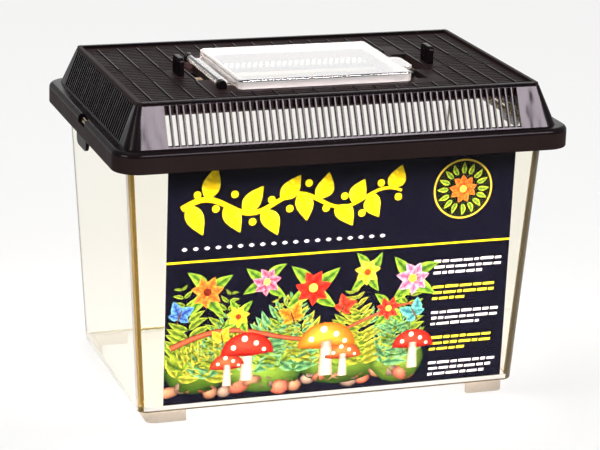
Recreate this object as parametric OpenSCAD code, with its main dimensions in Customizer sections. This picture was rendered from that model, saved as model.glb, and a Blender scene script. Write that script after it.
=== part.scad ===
// Plastic pet keeper: a clear drafted tank with corner feet and a printed insert card,
// under a black lift-off lid with slotted slopes and a clear hinged feeding hatch.
// Millimetres. +X runs along the long side, the card faces -Y, +Z is up.
// The origin is on the ground, under the middle of the keeper.

/* [Tank] */
// Length of the tank's floor, outside
tank_base_l = 197; // [190:0.5:200]
// Width of the tank's floor, outside
tank_base_w = 114.5; // [110:0.5:118]
// Length gained from the floor to the flange by the draft of the walls
tank_draft_l = 15.7; // [8:0.1:17]
// Width gained from the floor to the flange by the draft of the walls
tank_draft_w = 9.2; // [6:0.1:12]
// Thickness of the tank's walls
wall_t = 2.2; // [1.6:0.1:2.6]
// Thickness of the tank's floor
floor_t = 2.4; // [1.8:0.1:3]
// Radius of the tank's upright corners, outside
tank_corner_r = 5; // [4:0.5:6]
// Radius of the rounded edge between the tank's floor and its walls
base_round = 1.6; // [0.6:0.2:2]
// Height of the corner feet
foot_h = 6; // [4:0.5:8]
// Length of a foot's leg along X, measured from the corner of the tank's floor
foot_leg_x = 24.5; // [14:0.5:30]
// Length of a foot's leg along Y, measured from the corner of the tank's floor
foot_leg_y = 18.5; // [12:0.5:30]
// Distance that the feet stand in from the tank's ends
foot_inset_x = 4.5; // [1:0.5:6]
// Distance that the feet stand in from the tank's front and back
foot_inset_y = 1.5; // [1:0.5:3]
// Thickness of the rib that makes a foot
foot_t = 2.6; // [2:0.1:4]

/* [Insert card] */
// Length of the printed card
card_l = 178; // [150:1:182]
// Thickness of the printed card
card_t = 0.6; // [0.4:0.1:1]
// Distance of the card's middle to the right of the tank's middle
card_x = 3; // [0:0.5:4]
// Height of the card's upper edge above the ground
card_top_z = 134.4; // [129.4:0.5:135.4]

/* [Lid] */
// Length of the lid, over the skirt
lid_l = 230; // [228:0.5:236]
// Width of the lid, over the skirt
lid_w = 155; // [154:0.5:160]
// Height of the skirt's lower edge above the ground
skirt_z = 132.8; // [131.4:0.2:133.4]
// Height of the ledge at the foot of the slopes
ledge_z = 143.1; // [142.4:0.1:144.4]
// Height of the crest, where the slopes end
crest_z = 163.1; // [159.4:0.1:167.4]
// Thickness of the skirt
skirt_t = 1.8; // [1.4:0.1:1.8]
// Thickness of the ledge
ledge_t = 2; // [1.6:0.1:2.4]
// Radius of the lid's corners, outside
lid_corner_r = 12.5; // [12:0.5:14]
// Radius of the rounded edge between skirt and ledge
rim_round = 2.4; // [1:0.1:3]
// Length of the slopes at their foot
slope_base_l = 218.3; // [216:0.1:220]
// Width of the slopes at their foot
slope_base_w = 143.7; // [142:0.1:145]
// Length of the slopes at the crest
crest_l = 203.2; // [202:0.1:206]
// Width of the slopes at the crest
crest_w = 123.3; // [122:0.1:126]
// Thickness of the slopes, measured level
slope_t = 2.2; // [1.8:0.1:2.4]

/* [Slots] */
// Spacing of the slots in the slopes, and of the slits in the top
slot_pitch = 3.26; // [3:0.01:3.4]
// Width of one slot
slot_w = 2.15; // [1.6:0.05:2.3]
// Number of slots in the front slope, and in the back slope
slots_long = 55; // [41:2:55]
// Number of slots in each end slope
slots_short = 35; // [25:2:35]
// Plain band left under the crest, above the slots
slot_top_band = 1.7; // [1:0.1:2.4]
// Plain band left above the ledge, under the slots
slot_foot_band = 0.7; // [0.5:0.1:2]

/* [Top grille] */
// Depth of the top's surface below the crest
top_recess = 1.5; // [1:0.1:2]
// Depth of the top's bars
top_t = 4.4; // [3:0.1:5]
// Spacing of the ridges that run across the top
ridge_pitch = 10.28; // [10:0.02:10.4]
// Width of one ridge
ridge_w = 1; // [0.8:0.1:1.4]
// Height of one ridge above the top's surface
ridge_h = 0.6; // [0.3:0.1:0.8]
// Width of one slit in the top
slit_w = 1.2; // [0.8:0.1:1.6]
// Length of one slit in the top
slit_l = 8.6; // [7:0.1:9]

/* [Feeding hatch] */
// Left edge of the hatch's tray
hatch_x0 = -46; // [-47:0.5:-45]
// Right edge of the hatch's tray
hatch_x1 = 43; // [41:0.5:43.5]
// Width of the hatch's tray
hatch_w = 70; // [66:0.5:71]
// Distance of the hatch's middle behind the lid's middle
hatch_y = -5.75; // [-7:0.25:-4]
// Height of the hatch's tray
hatch_h = 4.6; // [4.2:0.1:5]
// Thickness of the tray's walls and face
hatch_t = 1.7; // [1.4:0.1:2]
// Radius of the tray's corners
hatch_corner_r = 2.5; // [2:0.5:5]
// Distance of the hinge axis from the tray's left edge
hinge_reach = 7.2; // [6.8:0.1:7.4]
// Height of the hinge axis above the top's surface
hinge_rise = 2.1; // [2:0.1:2.3]
// Radius of the clear hinge barrel
barrel_r = 1.7; // [1.5:0.1:1.8]
// Radius of the pins at the barrel's ends
pin_r = 1; // [0.8:0.05:1.1]
// Play between a pin and its bore, on the radius
pin_play = 0.08; // [0.05:0.01:0.1]
// Width of the thumb tongue
tongue_w = 21; // [18:1:24]
// Distance that the tongue stands out from the tray
tongue_l = 9.8; // [8:0.2:10]

/* [Posts] */
// Distance from the lid's middle to the middle of a post
post_x = 65.5; // [65:0.1:66]
// Distance of the posts' middle behind the lid's middle
post_y = -2.2; // [-3:0.1:0]
// Length of a post, front to back
post_l = 12.5; // [10:0.5:14]
// Thickness of a post
post_t = 3.2; // [2.6:0.1:4]
// Height of a post above the top's surface
post_h = 8.8; // [7:0.1:10]
// Length of the opening beside each post
port_l = 33.6; // [24:0.2:34]
// Width of the opening beside each post
port_w = 8.3; // [6:0.1:8.5]

/* [Snap tabs] */
// Distance of the tabs' middle behind the lid's middle
tab_y = -5; // [-6:0.5:0]
// Width of a snap tab
tab_w = 20; // [14:1:24]
// Distance that a tab hangs below the skirt
tab_drop = 5.4; // [4:0.1:7]
// Radius of a tab's lower corners
tab_r = 4; // [2:0.5:5]
// Width of the window above a tab
window_w = 12.8; // [8:0.2:16]

/* [Hidden] */

$fn = 48;
eps = 0.01;

clear_plastic = [0.93, 0.92, 0.86, 0.45];
frosted_plastic = [0.82, 0.82, 0.80];
black_plastic = [0.16, 0.15, 0.16];
card_navy = [0.06, 0.06, 0.12];

// Tank
flange_z = skirt_z + 3.2;
flange_t = 2.2;
rim_z = ledge_z - ledge_t;
rim_play = 0.5;
flange_l = lid_l - 2 * skirt_t - 2 * rim_play;
flange_w = lid_w - 2 * skirt_t - 2 * rim_play;
flange_r = lid_corner_r - skirt_t - rim_play;
lip_t = 2.4;
wall_rise = flange_z - foot_h;
function tank_l(z) = tank_base_l + tank_draft_l * (z - foot_h) / wall_rise;
function tank_w(z) = tank_base_w + tank_draft_w * (z - foot_h) / wall_rise;

// Lid
top_z = crest_z - top_recess;
top_under_z = top_z - top_t;
slot_z0 = ledge_z + slot_foot_band;
slot_z1 = min(crest_z - slot_top_band, top_z - 0.2);
top_l = crest_l - 2 * slope_t;
top_w = crest_w - 2 * slope_t;
mitre = [(slope_base_l - crest_l) / 2, (slope_base_w - crest_w) / 2];

// Hatch
hatch_play = 0.15;
hatch_z = top_z + hatch_play;
hatch_l = hatch_x1 - hatch_x0;
hatch_x = (hatch_x0 + hatch_x1) / 2;
hinge_x = hatch_x0 - hinge_reach;
hinge_y = hatch_y - 0.75;
hinge_z = top_z + hinge_rise;
barrel_l = 53;
pin_l = 4.5;
web_t = 1.4;
web_drop = 1.5;
bracket_gap = 0.3;
bracket_l = 4.4;
bracket_r = 2.1;
tongue_t = 1.4;
tongue_z = hatch_z + 0.1;
tongue_r = 3;
opening_inset = 3.5;
opening_l = hatch_l - 2 * opening_inset;
opening_w = hatch_w - 2 * opening_inset;
port_x = 56.15;
port_y = -0.9;
rail_w = 1.1;
block_x = 6 * ridge_pitch;
block_y0 = hatch_y - hatch_w / 2 - 4.6;
block_y1 = hatch_y + hatch_w / 2 + 4.6;
slit_y_max = 53;
ridge_y_max = 54.5;
ridge_count = 9;
ridge_gap_y0 = -17.3;
ridge_gap_y1 = 9.7;

// Catches: left edge, front edge, length along X, length along Y
front_catch = [43.6, -34, 3, 9];
back_catch = [43.6, 12, 3, 9];
catch_h = 2.6;
catch_chamfer = 0.8;
// Slots beside the catches: left edge, front edge, length along X, length along Y
front_catch_slot = [47.8, -36, 5.2, 16.5];
back_catch_slot = [47.8, 19, 3, 13.5];

// Snap tabs
window_t = 2.8;
window_h = 4.1;
tab_ridge = 0.35;

// A flat rectangle with round corners, centred.
module rounded_plate(l, w, r) {
    square([l - 2 * r, w], center = true);
    square([l, w - 2 * r], center = true);
    for (x = [-1, 1], y = [-1, 1])
        translate([x * (l / 2 - r), y * (w / 2 - r)])
            circle(r = r);
}

// A thin slice of a rounded block, for the ends of a hull.
module slice(l, w, r, z) {
    translate([0, 0, z])
        linear_extrude(eps)
            rounded_plate(l, w, r, $fn = 32);
}

// A block whose four walls lean outwards by the tank's draft.
module drafted_block(inset, z0, z1, r) {
    hull() {
        slice(tank_l(z0) - 2 * inset, tank_w(z0) - 2 * inset, r, z0);
        slice(tank_l(z1) - 2 * inset, tank_w(z1) - 2 * inset, r, z1 - eps);
    }
}

// A thin slice of the tank's outside at height z, stood in from its walls.
module tank_slice(inset, z) {
    slice(tank_l(z) - 2 * inset, tank_w(z) - 2 * inset, tank_corner_r - inset, z);
}

// Clear tank: floor, four drafted walls, a flange and the lip that carries the lid.
module tank_tub() {
    soft = base_round * (1 - cos(45));
    color(clear_plastic)
        difference() {
            union() {
                drafted_block(0, foot_h + base_round, flange_z + eps, tank_corner_r);
                hull() {
                    tank_slice(base_round, foot_h);
                    tank_slice(soft, foot_h + soft);
                    tank_slice(0, foot_h + base_round);
                }
                translate([0, 0, flange_z])
                    linear_extrude(rim_z - flange_z)
                        rounded_plate(flange_l, flange_w, flange_r);
            }
            drafted_block(wall_t, foot_h + floor_t, flange_z + flange_t + eps, tank_corner_r - wall_t);
            translate([0, 0, flange_z + flange_t])
                linear_extrude(rim_z - flange_z)
                    rounded_plate(flange_l - 2 * lip_t, flange_w - 2 * lip_t, flange_r - lip_t);
        }
}

// Four L-shaped ribs under the corners of the tank's floor.
module corner_feet() {
    foot_l = tank_base_l - 2 * foot_inset_x;
    foot_w = tank_base_w - 2 * foot_inset_y;
    foot_r = 4;
    color(frosted_plastic)
        linear_extrude(foot_h)
            intersection() {
                difference() {
                    rounded_plate(foot_l, foot_w, foot_r);
                    rounded_plate(foot_l - 2 * foot_t, foot_w - 2 * foot_t, foot_r - foot_t);
                }
                for (x = [-1, 1], y = [-1, 1])
                    translate([x * tank_base_l / 2, y * tank_base_w / 2])
                        square([2 * foot_leg_x, 2 * foot_leg_y], center = true);
            }
}

// Printed card that stands on the floor, against the inside of the front wall.
module label_card() {
    z0 = foot_h + floor_t;
    y0 = -tank_w(z0) / 2 + wall_t;
    y1 = -tank_w(card_top_z) / 2 + wall_t;
    color(card_navy)
        translate([card_x, 0, 0])
            rotate([90, 0, 90])
                linear_extrude(card_l, center = true)
                    polygon([[y0, z0], [y0 + card_t, z0], [y1 + card_t, card_top_z], [y1, card_top_z]]);
}

// Skirt and ledge round the lid, with a window cut into the rounded edge above each snap tab.
module lid_rim() {
    soft = rim_round * (1 - cos(45));
    color(black_plastic)
        difference() {
            union() {
                translate([0, 0, skirt_z])
                    linear_extrude(ledge_z - rim_round - skirt_z)
                        rounded_plate(lid_l, lid_w, lid_corner_r);
                hull() {
                    slice(lid_l, lid_w, lid_corner_r, ledge_z - rim_round);
                    slice(lid_l - 2 * soft, lid_w - 2 * soft, lid_corner_r - soft, ledge_z - soft);
                    slice(lid_l - 2 * rim_round, lid_w - 2 * rim_round, lid_corner_r - rim_round, ledge_z - eps);
                }
            }
            translate([0, 0, skirt_z - 1])
                linear_extrude(rim_z - skirt_z + 1)
                    rounded_plate(lid_l - 2 * skirt_t, lid_w - 2 * skirt_t, lid_corner_r - skirt_t);
            translate([0, 0, rim_z - 1])
                linear_extrude(ledge_t + 2)
                    square([slope_base_l - 2 * slope_t, slope_base_w - 2 * slope_t], center = true);
            for (x = [-1, 1])
                translate([x * lid_l / 2, tab_y, ledge_z])
                    cube([2 * window_t, window_w, 2 * window_h], center = true);
        }
}

// Tongues that hang from the skirt's short sides and spring over the tank's lip.
module snap_tabs() {
    color(black_plastic)
        for (turn = [0, 180])
            translate([0, tab_y, 0])
                rotate([0, 0, turn])
                    translate([lid_l / 2 - skirt_t, 0, skirt_z]) {
                        rotate([90, 0, 90])
                            linear_extrude(skirt_t)
                                intersection() {
                                    translate([0, -tab_drop / 2 + tab_r])
                                        rounded_plate(tab_w, tab_drop + 2 * tab_r, tab_r);
                                    translate([-tab_w / 2, -tab_drop])
                                        square([tab_w, tab_drop]);
                                }
                        rotate([90, 0, 0])
                            linear_extrude(tab_w - 2 * tab_r, center = true)
                                polygon([[0, -0.4], [-tab_ridge, -1], [-tab_ridge, -1.6], [0, -3]]);
                    }
}

// The share of the lid's plan that belongs to a long or a short side, cut along the mitres.
module side_plan(long) {
    outer = [slope_base_l / 2, slope_base_w / 2] + mitre;
    inner = [crest_l / 2, crest_w / 2] - mitre;
    if (long)
        polygon([[-outer.x, -outer.y], [outer.x, -outer.y], [inner.x, -inner.y], [-inner.x, -inner.y]]);
    else
        polygon([[outer.x, -outer.y], [outer.x, outer.y], [inner.x, inner.y], [inner.x, -inner.y]]);
}

// Section of a slope: it leans in from the ledge to the crest, and its lip backs the top's edge.
module slope_section(foot, crest) {
    lean = (foot - crest) / (crest_z - ledge_z);
    seat = foot - slope_t - lean * (top_under_z - ledge_z);
    polygon([
        [foot, ledge_z], [crest, crest_z], [crest - slope_t, crest_z],
        [crest - slope_t, top_under_z], [seat, top_under_z], [foot - slope_t, ledge_z]
    ]);
}

// Slotted slope along the front of the lid.
module long_slope() {
    difference() {
        intersection() {
            rotate([90, 0, -90])
                linear_extrude(slope_base_l + 2, center = true)
                    slope_section(slope_base_w / 2, crest_w / 2);
            translate([0, 0, ledge_z - 1])
                linear_extrude(crest_z - ledge_z + 2)
                    side_plan(true);
        }
        for (i = [0 : slots_long - 1])
            translate([(i - (slots_long - 1) / 2) * slot_pitch - slot_w / 2, -slope_base_w / 2 - 1, slot_z0])
                cube([slot_w, slope_base_w / 2 - crest_w / 2 + slope_t + 2, slot_z1 - slot_z0]);
    }
}

// Slotted slope at the right end of the lid.
module short_slope() {
    difference() {
        intersection() {
            rotate([90, 0, 0])
                linear_extrude(slope_base_w + 2, center = true)
                    slope_section(slope_base_l / 2, crest_l / 2);
            translate([0, 0, ledge_z - 1])
                linear_extrude(crest_z - ledge_z + 2)
                    side_plan(false);
        }
        for (i = [0 : slots_short - 1])
            translate([crest_l / 2 - slope_t - 1, (i - (slots_short - 1) / 2) * slot_pitch - slot_w / 2, slot_z0])
                cube([slope_base_l / 2 - crest_l / 2 + slope_t + 2, slot_w, slot_z1 - slot_z0]);
    }
}

module front_grille() {
    color(black_plastic)
        long_slope();
}

module back_grille() {
    color(black_plastic)
        rotate([0, 0, 180])
            long_slope();
}

module right_grille() {
    color(black_plastic)
        short_slope();
}

module left_grille() {
    color(black_plastic)
        rotate([0, 0, 180])
            short_slope();
}

// True where a slit would run under the hatch, a bracket or a post.
function slit_blocked(x, y) =
    (abs(x) < block_x && y > block_y0 && y < block_y1)
    || (abs(abs(x) - post_x) < ridge_pitch / 2 && abs(y - post_y) < post_l / 2 + 2);

// A rectangle given by its left edge, front edge, length along X and length along Y.
module placed_square(place) {
    translate([place[0], place[1]])
        square([place[2], place[3]]);
}

// Outline of the top with the hatch's opening, a port beside each post, the slots and the slits.
module top_outline() {
    rows = floor(slit_y_max / slot_pitch);
    end_l = top_l / 2 - ridge_count * ridge_pitch - ridge_w - 1.6;
    end_x = ridge_count * ridge_pitch + ridge_w / 2 + 0.3 + end_l / 2;
    difference() {
        square([top_l, top_w], center = true);
        translate([hatch_x, hatch_y])
            rounded_plate(opening_l, opening_w, 3);
        for (x = [-1, 1])
            translate([x * port_x, port_y])
                square([port_w, port_l], center = true);
        placed_square(front_catch_slot);
        placed_square(back_catch_slot);
        for (row = [-rows : rows]) {
            y = row * slot_pitch;
            for (cell = [-ridge_count : ridge_count - 1]) {
                x = (cell + 0.5) * ridge_pitch;
                if (!slit_blocked(x, y))
                    translate([x, y])
                        square([slit_l, slit_w], center = true);
            }
            for (x = [-1, 1])
                translate([x * end_x, y])
                    square([end_l, slit_w], center = true);
        }
    }
}

// Where the ridges on each side of the middle end: at the hatch, at the ports, or at the gap.
function ridge_front_end(i) = abs(i) < 6 ? block_y0 : abs(i) == 6 ? -20 : ridge_gap_y0;
function ridge_back_end(i) = i == 5 ? 22.8 : abs(i) < 6 ? block_y1 : abs(i) == 6 ? 21.5 : ridge_gap_y1;

// Ridges that run front to back over the top, and a rail along each port.
module top_ridges() {
    for (x = [-1, 1])
        translate([x * (port_x + port_w / 2 + rail_w / 2) - rail_w / 2, port_y - port_l / 2, 0])
            cube([rail_w, port_l, ridge_h]);
    for (i = [-ridge_count : ridge_count]) {
        front_end = ridge_front_end(i);
        back_end = ridge_back_end(i);
        translate([i * ridge_pitch - ridge_w / 2, -ridge_y_max, 0])
            cube([ridge_w, ridge_y_max + front_end, ridge_h]);
        translate([i * ridge_pitch - ridge_w / 2, back_end, 0])
            cube([ridge_w, ridge_y_max - back_end, ridge_h]);
    }
}

module top_grille() {
    color(black_plastic)
        union() {
            translate([0, 0, top_under_z])
                linear_extrude(top_t)
                    top_outline();
            translate([0, 0, top_z])
                top_ridges();
        }
}

// Two bored blocks that hold the pins of the hatch.
module hinge_brackets() {
    color(black_plastic)
        for (side = [-1, 1])
            translate([hinge_x, hinge_y + side * (barrel_l / 2 + bracket_gap + bracket_l / 2), hinge_z])
                rotate([90, 0, 0])
                    linear_extrude(bracket_l, center = true)
                        difference() {
                            intersection() {
                                union() {
                                    circle(r = bracket_r);
                                    translate([-bracket_r, -hinge_rise])
                                        square([2 * bracket_r, hinge_rise]);
                                }
                                translate([-bracket_r, -hinge_rise])
                                    square([2 * bracket_r, hinge_rise + bracket_r]);
                            }
                            circle(r = pin_r + pin_play);
                        }
}

// A catch block: its upper edge towards the hatch is cut away, so that the tray can spring past.
module catch_block(place) {
    translate([place[0], place[1] + place[3], top_z])
        rotate([90, 0, 0])
            linear_extrude(place[3])
                polygon([
                    [0, 0], [place[2], 0], [place[2], catch_h],
                    [catch_chamfer, catch_h], [0, catch_h - catch_chamfer]
                ]);
}

module hatch_catches() {
    color(black_plastic) {
        catch_block(front_catch);
        catch_block(back_catch);
    }
}

// Upright lug with a round-cornered top, at each end of the hatch.
module handle_posts() {
    r = 2.5;
    color(black_plastic)
        for (x = [-1, 1])
            translate([x * post_x, post_y, top_z])
                rotate([90, 0, 90])
                    linear_extrude(post_t, center = true) {
                        translate([-post_l / 2, 0])
                            square([post_l, post_h - r]);
                        translate([-post_l / 2 + r, 0])
                            square([post_l - 2 * r, post_h]);
                        for (y = [-1, 1])
                            translate([y * (post_l / 2 - r), post_h - r])
                                circle(r = r);
                    }
}

// Clear hatch: an inverted shallow tray, its hinge barrel with two pins, and a thumb tongue.
module hatch_cover() {
    color(clear_plastic)
        union() {
            translate([hatch_x, hatch_y, hatch_z])
                difference() {
                    linear_extrude(hatch_h)
                        rounded_plate(hatch_l, hatch_w, hatch_corner_r);
                    translate([0, 0, -1])
                        linear_extrude(hatch_h - hatch_t + 1)
                            rounded_plate(hatch_l - 2 * hatch_t, hatch_w - 2 * hatch_t, hatch_corner_r - hatch_t);
                }
            translate([hinge_x, hinge_y, hinge_z])
                rotate([90, 0, 0]) {
                    cylinder(r = barrel_r, h = barrel_l, center = true);
                    cylinder(r = pin_r, h = barrel_l + 2 * pin_l, center = true);
                }
            translate([hinge_x, hinge_y - barrel_l / 2, hinge_z - web_drop])
                cube([hinge_reach + hatch_t / 2, barrel_l, web_t]);
            translate([hatch_x1, hinge_y, tongue_z])
                linear_extrude(tongue_t)
                    intersection() {
                        rounded_plate(2 * tongue_l, tongue_w, tongue_r);
                        translate([-hatch_t / 2, -tongue_w / 2])
                            square([tongue_l + hatch_t / 2, tongue_w]);
                    }
        }
}

tank_tub();
corner_feet();
label_card();
lid_rim();
snap_tabs();
front_grille();
back_grille();
left_grille();
right_grille();
top_grille();
hinge_brackets();
hatch_catches();
handle_posts();
hatch_cover();
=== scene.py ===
"""Looks of a plastic pet keeper: a clear tank with a printed card, a slotted black lid and a clear hatch.

Meshes are drawn in millimetres in the frame of the packed model, and scaled to metres when a piece is made.
"""

import math
import random

import bmesh
import bpy
import numpy as np
from mathutils import Matrix, Vector


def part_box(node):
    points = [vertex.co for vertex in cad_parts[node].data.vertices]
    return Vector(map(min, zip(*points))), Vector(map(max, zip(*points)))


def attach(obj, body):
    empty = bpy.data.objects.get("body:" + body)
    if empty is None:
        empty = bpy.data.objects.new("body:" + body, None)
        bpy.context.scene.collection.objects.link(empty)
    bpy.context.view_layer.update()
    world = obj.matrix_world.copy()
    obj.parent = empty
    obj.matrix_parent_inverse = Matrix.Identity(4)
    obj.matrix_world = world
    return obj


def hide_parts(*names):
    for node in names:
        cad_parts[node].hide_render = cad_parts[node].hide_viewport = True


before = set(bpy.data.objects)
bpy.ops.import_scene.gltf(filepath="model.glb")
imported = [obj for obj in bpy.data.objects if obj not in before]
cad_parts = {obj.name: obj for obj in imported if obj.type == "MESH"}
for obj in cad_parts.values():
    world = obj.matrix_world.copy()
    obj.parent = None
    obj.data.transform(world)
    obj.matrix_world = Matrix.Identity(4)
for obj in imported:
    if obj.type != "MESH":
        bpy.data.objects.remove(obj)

bl_info = {
    "name": "Plastic pet keeper",
    "version": (1, 0, 0),
    "blender": (4, 5, 0),
    "location": "3D View > Sidebar > Pet keeper",
    "description": "Builds the finished surfaces of a clear pet keeper with a black slotted lid",
    "category": "Add Mesh",
}

MM = 0.001


def box_mm(node):
    """Lowest and highest corner of a node of the frame, in millimetres."""
    low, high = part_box(node)
    return np.array(low) / MM, np.array(high) / MM


TUB_LOW, TUB_HIGH = box_mm("tank_tub")
FEET_LOW, FEET_HIGH = box_mm("corner_feet")
CARD_LOW, CARD_HIGH = box_mm("label_card")
RIM_LOW, RIM_HIGH = box_mm("lid_rim")
TABS_LOW, TABS_HIGH = box_mm("snap_tabs")
SLOPE_LOW, SLOPE_HIGH = box_mm("front_grille")
TOP_LOW, TOP_HIGH = box_mm("top_grille")
KNUCKLE_LOW, KNUCKLE_HIGH = box_mm("hinge_brackets")
CATCH_LOW, CATCH_HIGH = box_mm("hatch_catches")
POST_LOW, POST_HIGH = box_mm("handle_posts")
HATCH_LOW, HATCH_HIGH = box_mm("hatch_cover")

# Tank. FOOT_IN is how far the feet stand in from its sides, and FOOT_LEG is where their legs end. DRAFT is
# how much the walls widen from the floor to the flange.
FOOT_IN_X, FOOT_IN_Y = 4.5, 1.5
BASE_L = FEET_HIGH[0] - FEET_LOW[0] + 2 * FOOT_IN_X
BASE_W = FEET_HIGH[1] - FEET_LOW[1] + 2 * FOOT_IN_Y
FLANGE_L, FLANGE_W = TUB_HIGH[0] - TUB_LOW[0], TUB_HIGH[1] - TUB_LOW[1]
FLANGE_R = 10.2
FLANGE_Z = RIM_LOW[2] + 3.2
FLANGE_T = 2.2
DRAFT_L, DRAFT_W = 15.7, 9.2
FLOOR_Z = TUB_LOW[2]
LIP_Z = TUB_HIGH[2]
LIP_T = 2.4
FOOT_LEG_X, FOOT_LEG_Y = 24.5, 18.5
FOOT_T = 2.6
FOOT_R = 4.0

# Card. Its depths are measured from the front face that it has in CAD.
CARD_T = 0.6
BOARD_FRONT, BOARD_BACK = 0.42, 0.56
INK_DEPTH, INK_STEP = 0.40, 0.05

# Lid. FOOT is the outline of the slopes at the ledge, and CREST at their upper edge.
LID_L, LID_W = RIM_HIGH[0] - RIM_LOW[0], RIM_HIGH[1] - RIM_LOW[1]
LID_R = 12.5
SKIRT_Z = RIM_LOW[2]
LEDGE_Z = RIM_HIGH[2]
SKIRT_T = 1.8
LEDGE_T = 2.0
RIM_ROUND = 2.4
SLOPE_T = 2.2
FOOT_L, FOOT_W = SLOPE_HIGH[0] - SLOPE_LOW[0], -2 * SLOPE_LOW[1]
CREST_Z = SLOPE_HIGH[2]
TOP_L, TOP_W = TOP_HIGH[0] - TOP_LOW[0], TOP_HIGH[1] - TOP_LOW[1]
CREST_L, CREST_W = TOP_L + 2 * SLOPE_T, TOP_W + 2 * SLOPE_T
RIDGE_H = 0.6
TOP_Z = TOP_HIGH[2] - RIDGE_H
TOP_UNDER_Z = TOP_LOW[2]
SLOT_LOW_Z, SLOT_HIGH_Z = LEDGE_Z + 0.7, CREST_Z - 1.7
SLOT_PITCH = 3.26
SLOT_W = 2.25
SLOTS_LONG, SLOTS_SHORT = 55, 35

# Hatch and what holds it. A port is the opening beside each post.
HATCH_Y = (HATCH_LOW[1] + HATCH_HIGH[1]) / 2
TRAY_X = (-46.0, 43.0)
TRAY_W = HATCH_HIGH[1] - HATCH_LOW[1]
TRAY_H = 4.6
TRAY_Z = HATCH_HIGH[2] - TRAY_H
HINGE_X = (KNUCKLE_LOW[0] + KNUCKLE_HIGH[0]) / 2
HINGE_Y = (KNUCKLE_LOW[1] + KNUCKLE_HIGH[1]) / 2
HINGE_Z = TOP_Z + 2.1
PIN_R = 1.0
PORT_X, PORT_Y = 56.15, -0.9
PORT_W, PORT_L = 8.3, 33.6
POST_T = 3.2


# ---------------------------------------------------------------- meshes

def turned(points, quarter):
    """The points (x, y), turned by quarter turns about Z."""
    for _ in range(quarter):
        points = [(-y, x) for x, y in points]
    return points


def outline(length, width, radius, arc=8, cuts=((), ())):
    """Points round a rectangle with round corners, counter-clockwise from the left end of its front side.
    cuts holds the distances from the middle of the points to add on the long and on the short sides."""
    points = []
    for quarter in range(4):
        along, out = (length, width) if quarter % 2 == 0 else (width, length)
        end = along / 2 - radius
        side = [(s, -out / 2) for s in (-end, *cuts[quarter % 2], end)]
        for k in range(1, arc):
            angle = -math.pi / 2 + k * math.pi / 2 / arc
            side.append((end + radius * math.cos(angle), -out / 2 + radius + radius * math.sin(angle)))
        points += turned(side, quarter)
    return points


def add_ring(bm, z, length, width, radius, centre=(0.0, 0.0), **shape):
    """Vertices of an outline at a height."""
    cx, cy = centre
    return [bm.verts.new((x + cx, y + cy, z)) for x, y in outline(length, width, radius, **shape)]


def bridge(bm, first, second, skip=()):
    """Faces between two rings of as many vertices, apart from the segments in skip."""
    count = len(first)
    for i in range(count):
        if i not in skip:
            j = (i + 1) % count
            bm.faces.new((first[i], first[j], second[j], second[i]))


def loft(rings, closed=False, **shape):
    """A skin through rings of (height, length, width, radius): capped, or joined end to end if closed."""
    bm = bmesh.new()
    made = [add_ring(bm, *ring, **shape) for ring in rings]
    for first, second in zip(made, made[1:] + made[:1] if closed else made[1:]):
        bridge(bm, first, second)
    if not closed:
        bm.faces.new(made[0][::-1])
        bm.faces.new(made[-1])
    return bm


def prism(points, depth, axis="Z", start=0.0):
    """A flat outline, given counter-clockwise in the plane across axis, drawn out along that axis."""
    place = {
        "X": lambda a, b, c: (c, a, b),
        "Y": lambda a, b, c: (a, c, b),
        "Z": lambda a, b, c: (a, b, c),
    }[axis]
    bm = bmesh.new()
    near = [bm.verts.new(place(a, b, start)) for a, b in points]
    far = [bm.verts.new(place(a, b, start + depth)) for a, b in points]
    bridge(bm, near, far)
    bm.faces.new(near[::-1])
    bm.faces.new(far)
    return bm


def arc_points(cx, cy, radius, start, end, steps):
    """Points of an arc, from one angle to another in degrees, both ends included."""
    angles = [math.radians(start + (end - start) * k / steps) for k in range(steps + 1)]
    return [(cx + radius * math.cos(a), cy + radius * math.sin(a)) for a in angles]


def quarter_round(z, inset, rise, steps=4):
    """Heights and insets of a quarter round, from z + rise at the inset to z as much further in."""
    angles = [math.pi / 2 * k / steps for k in range(steps + 1)]
    return [(z + rise * (1 - math.sin(a)), inset + abs(rise) * (1 - math.cos(a))) for a in angles]


def inset_rings(section, length, width, radius, least=0.0):
    """Rings of one outline at the heights and insets of a section."""
    return [(z, length - 2 * d, width - 2 * d, max(radius - d, least)) for z, d in section]


def joined(parts):
    """One mesh from several meshes, which are freed, or from the meshes of objects, which are removed."""
    whole = bmesh.new()
    for part in parts:
        obj = in_scene("part", part) if isinstance(part, bmesh.types.BMesh) else part
        whole.from_mesh(obj.data)
        bpy.data.meshes.remove(obj.data)  # takes the object with it
    return whole


def round_edges(bm, width, steps=3, above=30.0):
    """Rounds every edge at which the faces turn by more than the angle above."""
    bmesh.ops.recalc_face_normals(bm, faces=bm.faces)
    sharp = [e for e in bm.edges if e.is_manifold and e.calc_face_angle() > math.radians(above)]
    bmesh.ops.bevel(
        bm, geom=sharp, offset=width, offset_type="OFFSET", segments=steps, profile=0.5,
        affect="EDGES", clamp_overlap=True,
    )
    return bm


def linked(name, data):
    """A new object of the scene."""
    obj = bpy.data.objects.new(name, data)
    bpy.context.scene.collection.objects.link(obj)
    return obj


def in_scene(name, bm):
    """An object from a mesh in metres, which is freed."""
    mesh = bpy.data.meshes.new(name)
    bm.to_mesh(mesh)
    bm.free()
    return linked(name, mesh)


def to_object(name, bm, outward=True):
    """An object from a mesh in millimetres: doubles merged, faces outwards, round stretches shaded smooth."""
    bmesh.ops.remove_doubles(bm, verts=bm.verts, dist=1e-4)
    if outward:
        bmesh.ops.recalc_face_normals(bm, faces=bm.faces)
    bmesh.ops.scale(bm, verts=bm.verts, vec=(MM, MM, MM))
    return shade(in_scene(name, bm))


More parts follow.
